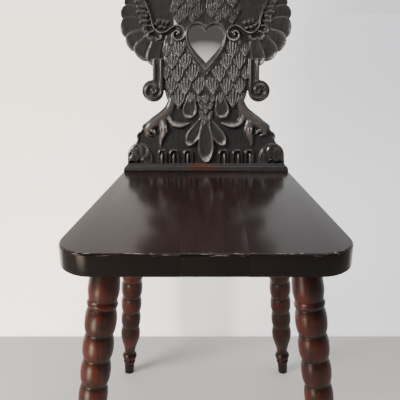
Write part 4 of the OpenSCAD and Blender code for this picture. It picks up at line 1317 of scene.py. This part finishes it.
# %% Stand the board up on the seat
for piece in (carved, ledge):
    piece.matrix_world = Matrix.Translation(board_foot) @ Matrix.Rotation(math.pi / 2 - board_lean, 4, "X")
    settle(piece)
    cut_level(piece, seat_top, keep_below=False)
tenons = copy_of("back_board", "board_tenons")
cut_level(tenons, seat_top + 0.002)
paint_carving(tenons, 0.06)
board = join([carved, ledge, tenons], "back_board_carved")
for spare in [rough] + masters:
    bpy.data.objects.remove(spare)
print("board", len(board.data.polygons), "faces")

# %% [markdown]
# ## The carving's finish
# The board was stained nearly black and lacquered. Hands and cloths have rubbed the ribs and
# rims, and they are painted grey-brown with near-white crowns: this is partly rubbed wear and
# partly painted sheen and painted highlight, while the ground keeps its black. The painted rub
# value drives that, together with a little noise, and the barbs' phase becomes fine lines in the
# bump. Near the top the colour is painted darker, even on the ribs, as painted shade. The back
# was only stained, and the steep sides of the cuts and of the heart took hardly any lacquer, so
# both are dull, and the steep sides are painted near-black as painted shade. On the ledge a
# small patch is worn through to the red wood.

# %% Carved lacquer
steep_side_shade = (0.007, 0.0062, 0.0058)
rib_highlight_colour = (0.46, 0.44, 0.43)
bare_wood = (0.075, 0.023, 0.012)
bare_patch_place = (-0.00857, 0, seat_top + 0.0085)
bare_patch_stretch = (28, 0, 210)


def carved_lacquer():
    finish = new_finish("carved_lacquer", 0.38, 1.0, 0.12, 0.2)
    rub_and_sheen, phase, barbs = add_node(finish, "ShaderNodeSeparateColor", {
        "Color": painted(finish, "carving", "Color")}).outputs
    grain = noise(finish, (1, 1, 0.12), 300, 5)
    patches = noise(finish, (1, 1, 1), 60, 4)

    # Where the board is plain: its back, what lies under the seat's top, and all steep sides
    place = object_place(finish)
    up = axis_of(finish, place, "Z")
    inward = Vector((0, math.cos(board_lean), -math.sin(board_lean)))
    board_rear = board_foot.dot(inward) + board_thickness / mm
    through = reach_along(finish, place, inward)
    rear = between(finish, through, board_rear - 0.0185, board_rear - 0.0165)
    below = between(finish, up, seat_top - 0.001, seat_top - 0.003)
    rear = work_out(finish, "MAXIMUM", rear, below)
    steep = between(finish, reach_along(finish, surface_normal(finish), -inward), 0.5, 0.2)
    dull = work_out(finish, "MAXIMUM", rear, steep)

    # The stain, rubbed on the ribs and rims with a painted sheen, a painted highlight on some crowns, painted
    # shade near the top and on the steep sides, worn through on the ledge
    level = between(finish, up, seat_top + 0.10, seat_top + 0.30)
    # The rubbed colour on the ribs and rims is partly real wear and partly a painted sheen.
    rubbed = multiply(finish, ramp(finish, rub_and_sheen, [(0.3, 0.0), (0.95, 1.0)]),
                      ramp(finish, patches, [(0.3, 0.35), (0.65, 1.0)]))
    stain = ramp(finish, grain, [(0.3, (0.021, 0.0196, 0.0192)), (0.7, (0.040, 0.0370, 0.0362))])
    # Above about level 0.72 the rubbed colour fades to nearly black: painted shade over the upper board.
    wear_and_sheen = ramp(finish, level, [(0.0, (0.160, 0.122, 0.108)), (0.3, (0.160, 0.152, 0.150)),
                                (0.72, (0.155, 0.149, 0.148)), (0.88, (0.027, 0.026, 0.0255))])
    wood = mix_colour(finish, rubbed, stain, wear_and_sheen)
    # A painted highlight: the crowns of the most rubbed ribs turn near-white, and this fades near the top.
    rib_highlight = multiply(finish, ramp(finish, level, [(0.7, 1.0), (0.88, 0.3)]),
                        ramp(finish, rub_and_sheen, [(0.84, 0.0), (1.0, 0.7)]),
                        ramp(finish, patches, [(0.42, 0.0), (0.6, 1.0)]))
    wood = mix_colour(finish, rib_highlight, wood, rib_highlight_colour)
    # The steep sides of the cuts and of the heart are painted near-black: painted shade in the cuts.
    wood = mix_colour(finish, steep, wood, steep_side_shade)
    shift = tuple(-stretch * middle for stretch, middle in zip(bare_patch_stretch, bare_patch_place))
    off_bare = length_of(finish, mapped(finish, place, shift, bare_patch_stretch))
    off_bare = work_out(finish, "ADD", off_bare, patches)
    bare = ramp(finish, multiply(finish, off_bare, 0.5), [(0.62, 1.0), (0.74, 0.0)])
    wood = mix_colour(finish, bare, wood, bare_wood)
    plain = ramp(finish, grain, [(0.3, (0.020, 0.0085, 0.0055)), (0.7, (0.046, 0.020, 0.0125))])
    wood = mix_colour(finish, rear, wood, plain)

    coat = between(finish, dull, 0.0, 1.0, 1.0, 0.04)
    drive(finish, "Coat Weight", multiply(finish, coat, ramp(finish, level, [(0.76, 1.0), (0.9, 0.5)])))
    drive(finish, "Roughness", between(finish, dull, 0.0, 1.0, 0.38, 0.95))
    wave = work_out(finish, "SINE", multiply(finish, phase, 2 * math.pi))
    lines = multiply(finish, wave, barbs, 0.5)
    return set_shader(finish, wood, work_out(finish, "ADD", grain, lines), 0.00022)


smooth_below(board, 45)
stand_for(board, carved_lacquer(), "back_board")
print("board finished")

# %% [markdown]
# ## The floor
# The chair stands on a plain pale floor, close to a pale wall. A wall would hide the chair
# from the back, so the floor simply runs on, and beyond the line where the wall would stand it
# glows, though it is no lamp: a painted light in the place of the lit wall, warm and bright on
# the left, where a window is, and cooler and darker on the right. Close behind the chair the
# glow is painted darker, as a painted soft shadow of the chair on the wall. Straight behind the
# chair, in a strip that only shows through the heart, the glow and the floor's colour fade with
# distance, and that is a painted shadow of the board on the wall, seen in the heart.

# %% Floor
wall_line = 0.27
wall_edge = 0.004
floor_tone, far_floor_tone = (0.76, 0.74, 0.71), (0.86, 0.84, 0.82)
black = (0, 0, 0)
viewer_distance = 0.92
picture_edge = 0.36
shade_shift, shade_stretch = (0, -0.65, 0), (3, 1.1, 1)
painted_wall_light_strength = 2.6
painted_wall_light_tones = [(0.1, (1.0, 0.85, 0.68)), (0.5, (0.80, 0.74, 0.68)), (0.75, (0.33, 0.335, 0.35)),
              (1.0, (0.26, 0.28, 0.31))]

only(camera)
bpy.ops.mesh.primitive_plane_add(size=60, location=(0, 0, 0))
floor = bpy.context.object
floor.name = "floor"
settle(floor)
paint = new_finish("floor_paint", 0.7, 0.0, 0.5, 0.0)
place = object_place(paint)
beyond = between(paint, axis_of(paint, place, "Y"), wall_line - wall_edge, wall_line + wall_edge)
mottle = ramp(paint, noise(paint, (1, 1, 1), 1.4, 3), [(0.3, 0.93), (0.7, 1.0)])

# Aside is where a point of the floor lies between the left and right of the picture
from_viewer = mapped(paint, place, (0, viewer_distance, 0))
aim = add_node(paint, "ShaderNodeVectorMath", {0: from_viewer}, operation="NORMALIZE").outputs["Vector"]
aside = between(paint, axis_of(paint, aim, "X"), -picture_edge, picture_edge)
# shade is a painted soft shadow of the chair on the wall: the glow is darker close behind the chair.
near_wall = length_of(paint, mapped(paint, place, shade_shift, shade_stretch))
shade = ramp(paint, multiply(paint, near_wall, 0.5), [(0.1, 0.6), (0.6, 1.0)])
# Beyond the wall line the floor glows with a painted light, brighter and warmer on the left.
painted_wall_light = mix_colour(paint, 1.0, ramp(paint, aside, painted_wall_light_tones), shade, "MULTIPLY")
painted_wall_light = mix_colour(paint, 1.0, painted_wall_light, beyond, "MULTIPLY")

# How much a point lies in that strip and far off, for the painted shadow of the board on the wall, whose edge
# starts in a curve
straight = ramp(paint, aside, [(0.40, 0.0), (0.44, 1.0), (0.56, 1.0), (0.60, 0.0)])
dome = ramp(paint, aside, [(0.44, 1.0), (0.485, 0.08), (0.515, 0.08), (0.56, 1.0)])
rounded = work_out(paint, "ADD", multiply(paint, dome, 1.25), axis_of(paint, place, "Y"))
behind = multiply(paint, straight, between(paint, rounded, 2.5, 10.7, 0.5, 1.0))
painted_wall_light = mix_colour(paint, behind, painted_wall_light, black)
tone = mix_colour(paint, 1.0, mix_colour(paint, beyond, floor_tone, far_floor_tone), mottle, "MULTIPLY")
# The floor's own colour is painted darker in that strip too, as part of the painted shadow of the board.
tone = mix_colour(paint, ramp(paint, behind, [(0.55, 0.0), (0.98, 0.80)]), tone, black)
set_shader(paint, tone, mottle, 0.0001)
drive(paint, "Emission Color", painted_wall_light)
drive(paint, "Emission Strength", painted_wall_light_strength)
floor.data.materials.append(paint)
print("floor ready")

# %% [markdown]
# ## The light
# A window on the left is the main light, and a pale ceiling fills the shadows. The turned legs
# show a thin warm highlight on their left, low down, so one more soft light stands there near
# the floor. The room around is a background that only depends on direction: bright behind the
# chair and on its left, darker in front, and that is what the lacquer mirrors.

# %% Lights
def area_light(name, place, target, size, power, colour, spread=180):
    """A square soft light that looks at a target. spread is in degrees."""
    bpy.ops.object.select_all(action="DESELECT")
    bpy.ops.object.light_add(type="AREA", location=place)
    light = bpy.context.object
    light.name = name
    light.data.size = size
    light.data.energy = power
    light.data.color = colour
    light.data.spread = spread * deg
    light.rotation_euler = (Vector(target) - Vector(place)).to_track_quat("-Z", "Y").to_euler()


area_light("window", (-1.7, -1.1, 1.7), (0, 0, 0.5), 0.9, 60, (1.0, 0.97, 0.93))
area_light("low_glow", (-0.62, -0.78, 0.12), (-0.12, -0.15, 0.2), 0.35, 0.8, (1.0, 0.82, 0.60), spread=50)
area_light("ceiling", (0.4, -0.4, 2.6), (0, 0, 0.3), 1.8, 26, (0.98, 0.99, 1.0))

# %% The room around
# The dark stops in the middle, straight behind the chair, are a painted shadow of the board on the wall,
# which the seat mirrors under the heart.
side_tones = [(0.3, (1.0, 0.93, 0.87)), (0.45, (1.0, 0.94, 0.89)), (0.475, (0.3, 0.28, 0.27)),
              (0.525, (0.26, 0.26, 0.27)), (0.55, (0.80, 0.81, 0.83)), (0.75, (0.70, 0.72, 0.75))]
dim_front, bright_back = 0.12, 1.2

room = bpy.data.worlds.new("room")
bpy.context.scene.world = room
room.use_nodes = True
rightward, backward, upward = add_node(room, "ShaderNodeSeparateXYZ", {
    "Vector": add_node(room, "ShaderNodeTexCoord").outputs["Generated"]}).outputs
in_front = between(room, backward, 0.0, -0.2)
side = between(room, work_out(room, "ADD", rightward, in_front), -1.0, 1.0)
depth = between(room, backward, -0.7, 0.6, dim_front, bright_back)
near_horizon = between(room, rightward, -0.1, 0.25, 2.4, 1.2)
height = between(room, upward, 0.04, 0.12, near_horizon, 1.0)
sky = room.node_tree.nodes["Background"]
plug_in(room, ramp(room, side, side_tones), sky.inputs["Color"])
plug_in(room, multiply(room, depth, height), sky.inputs["Strength"])
print("lights ready")
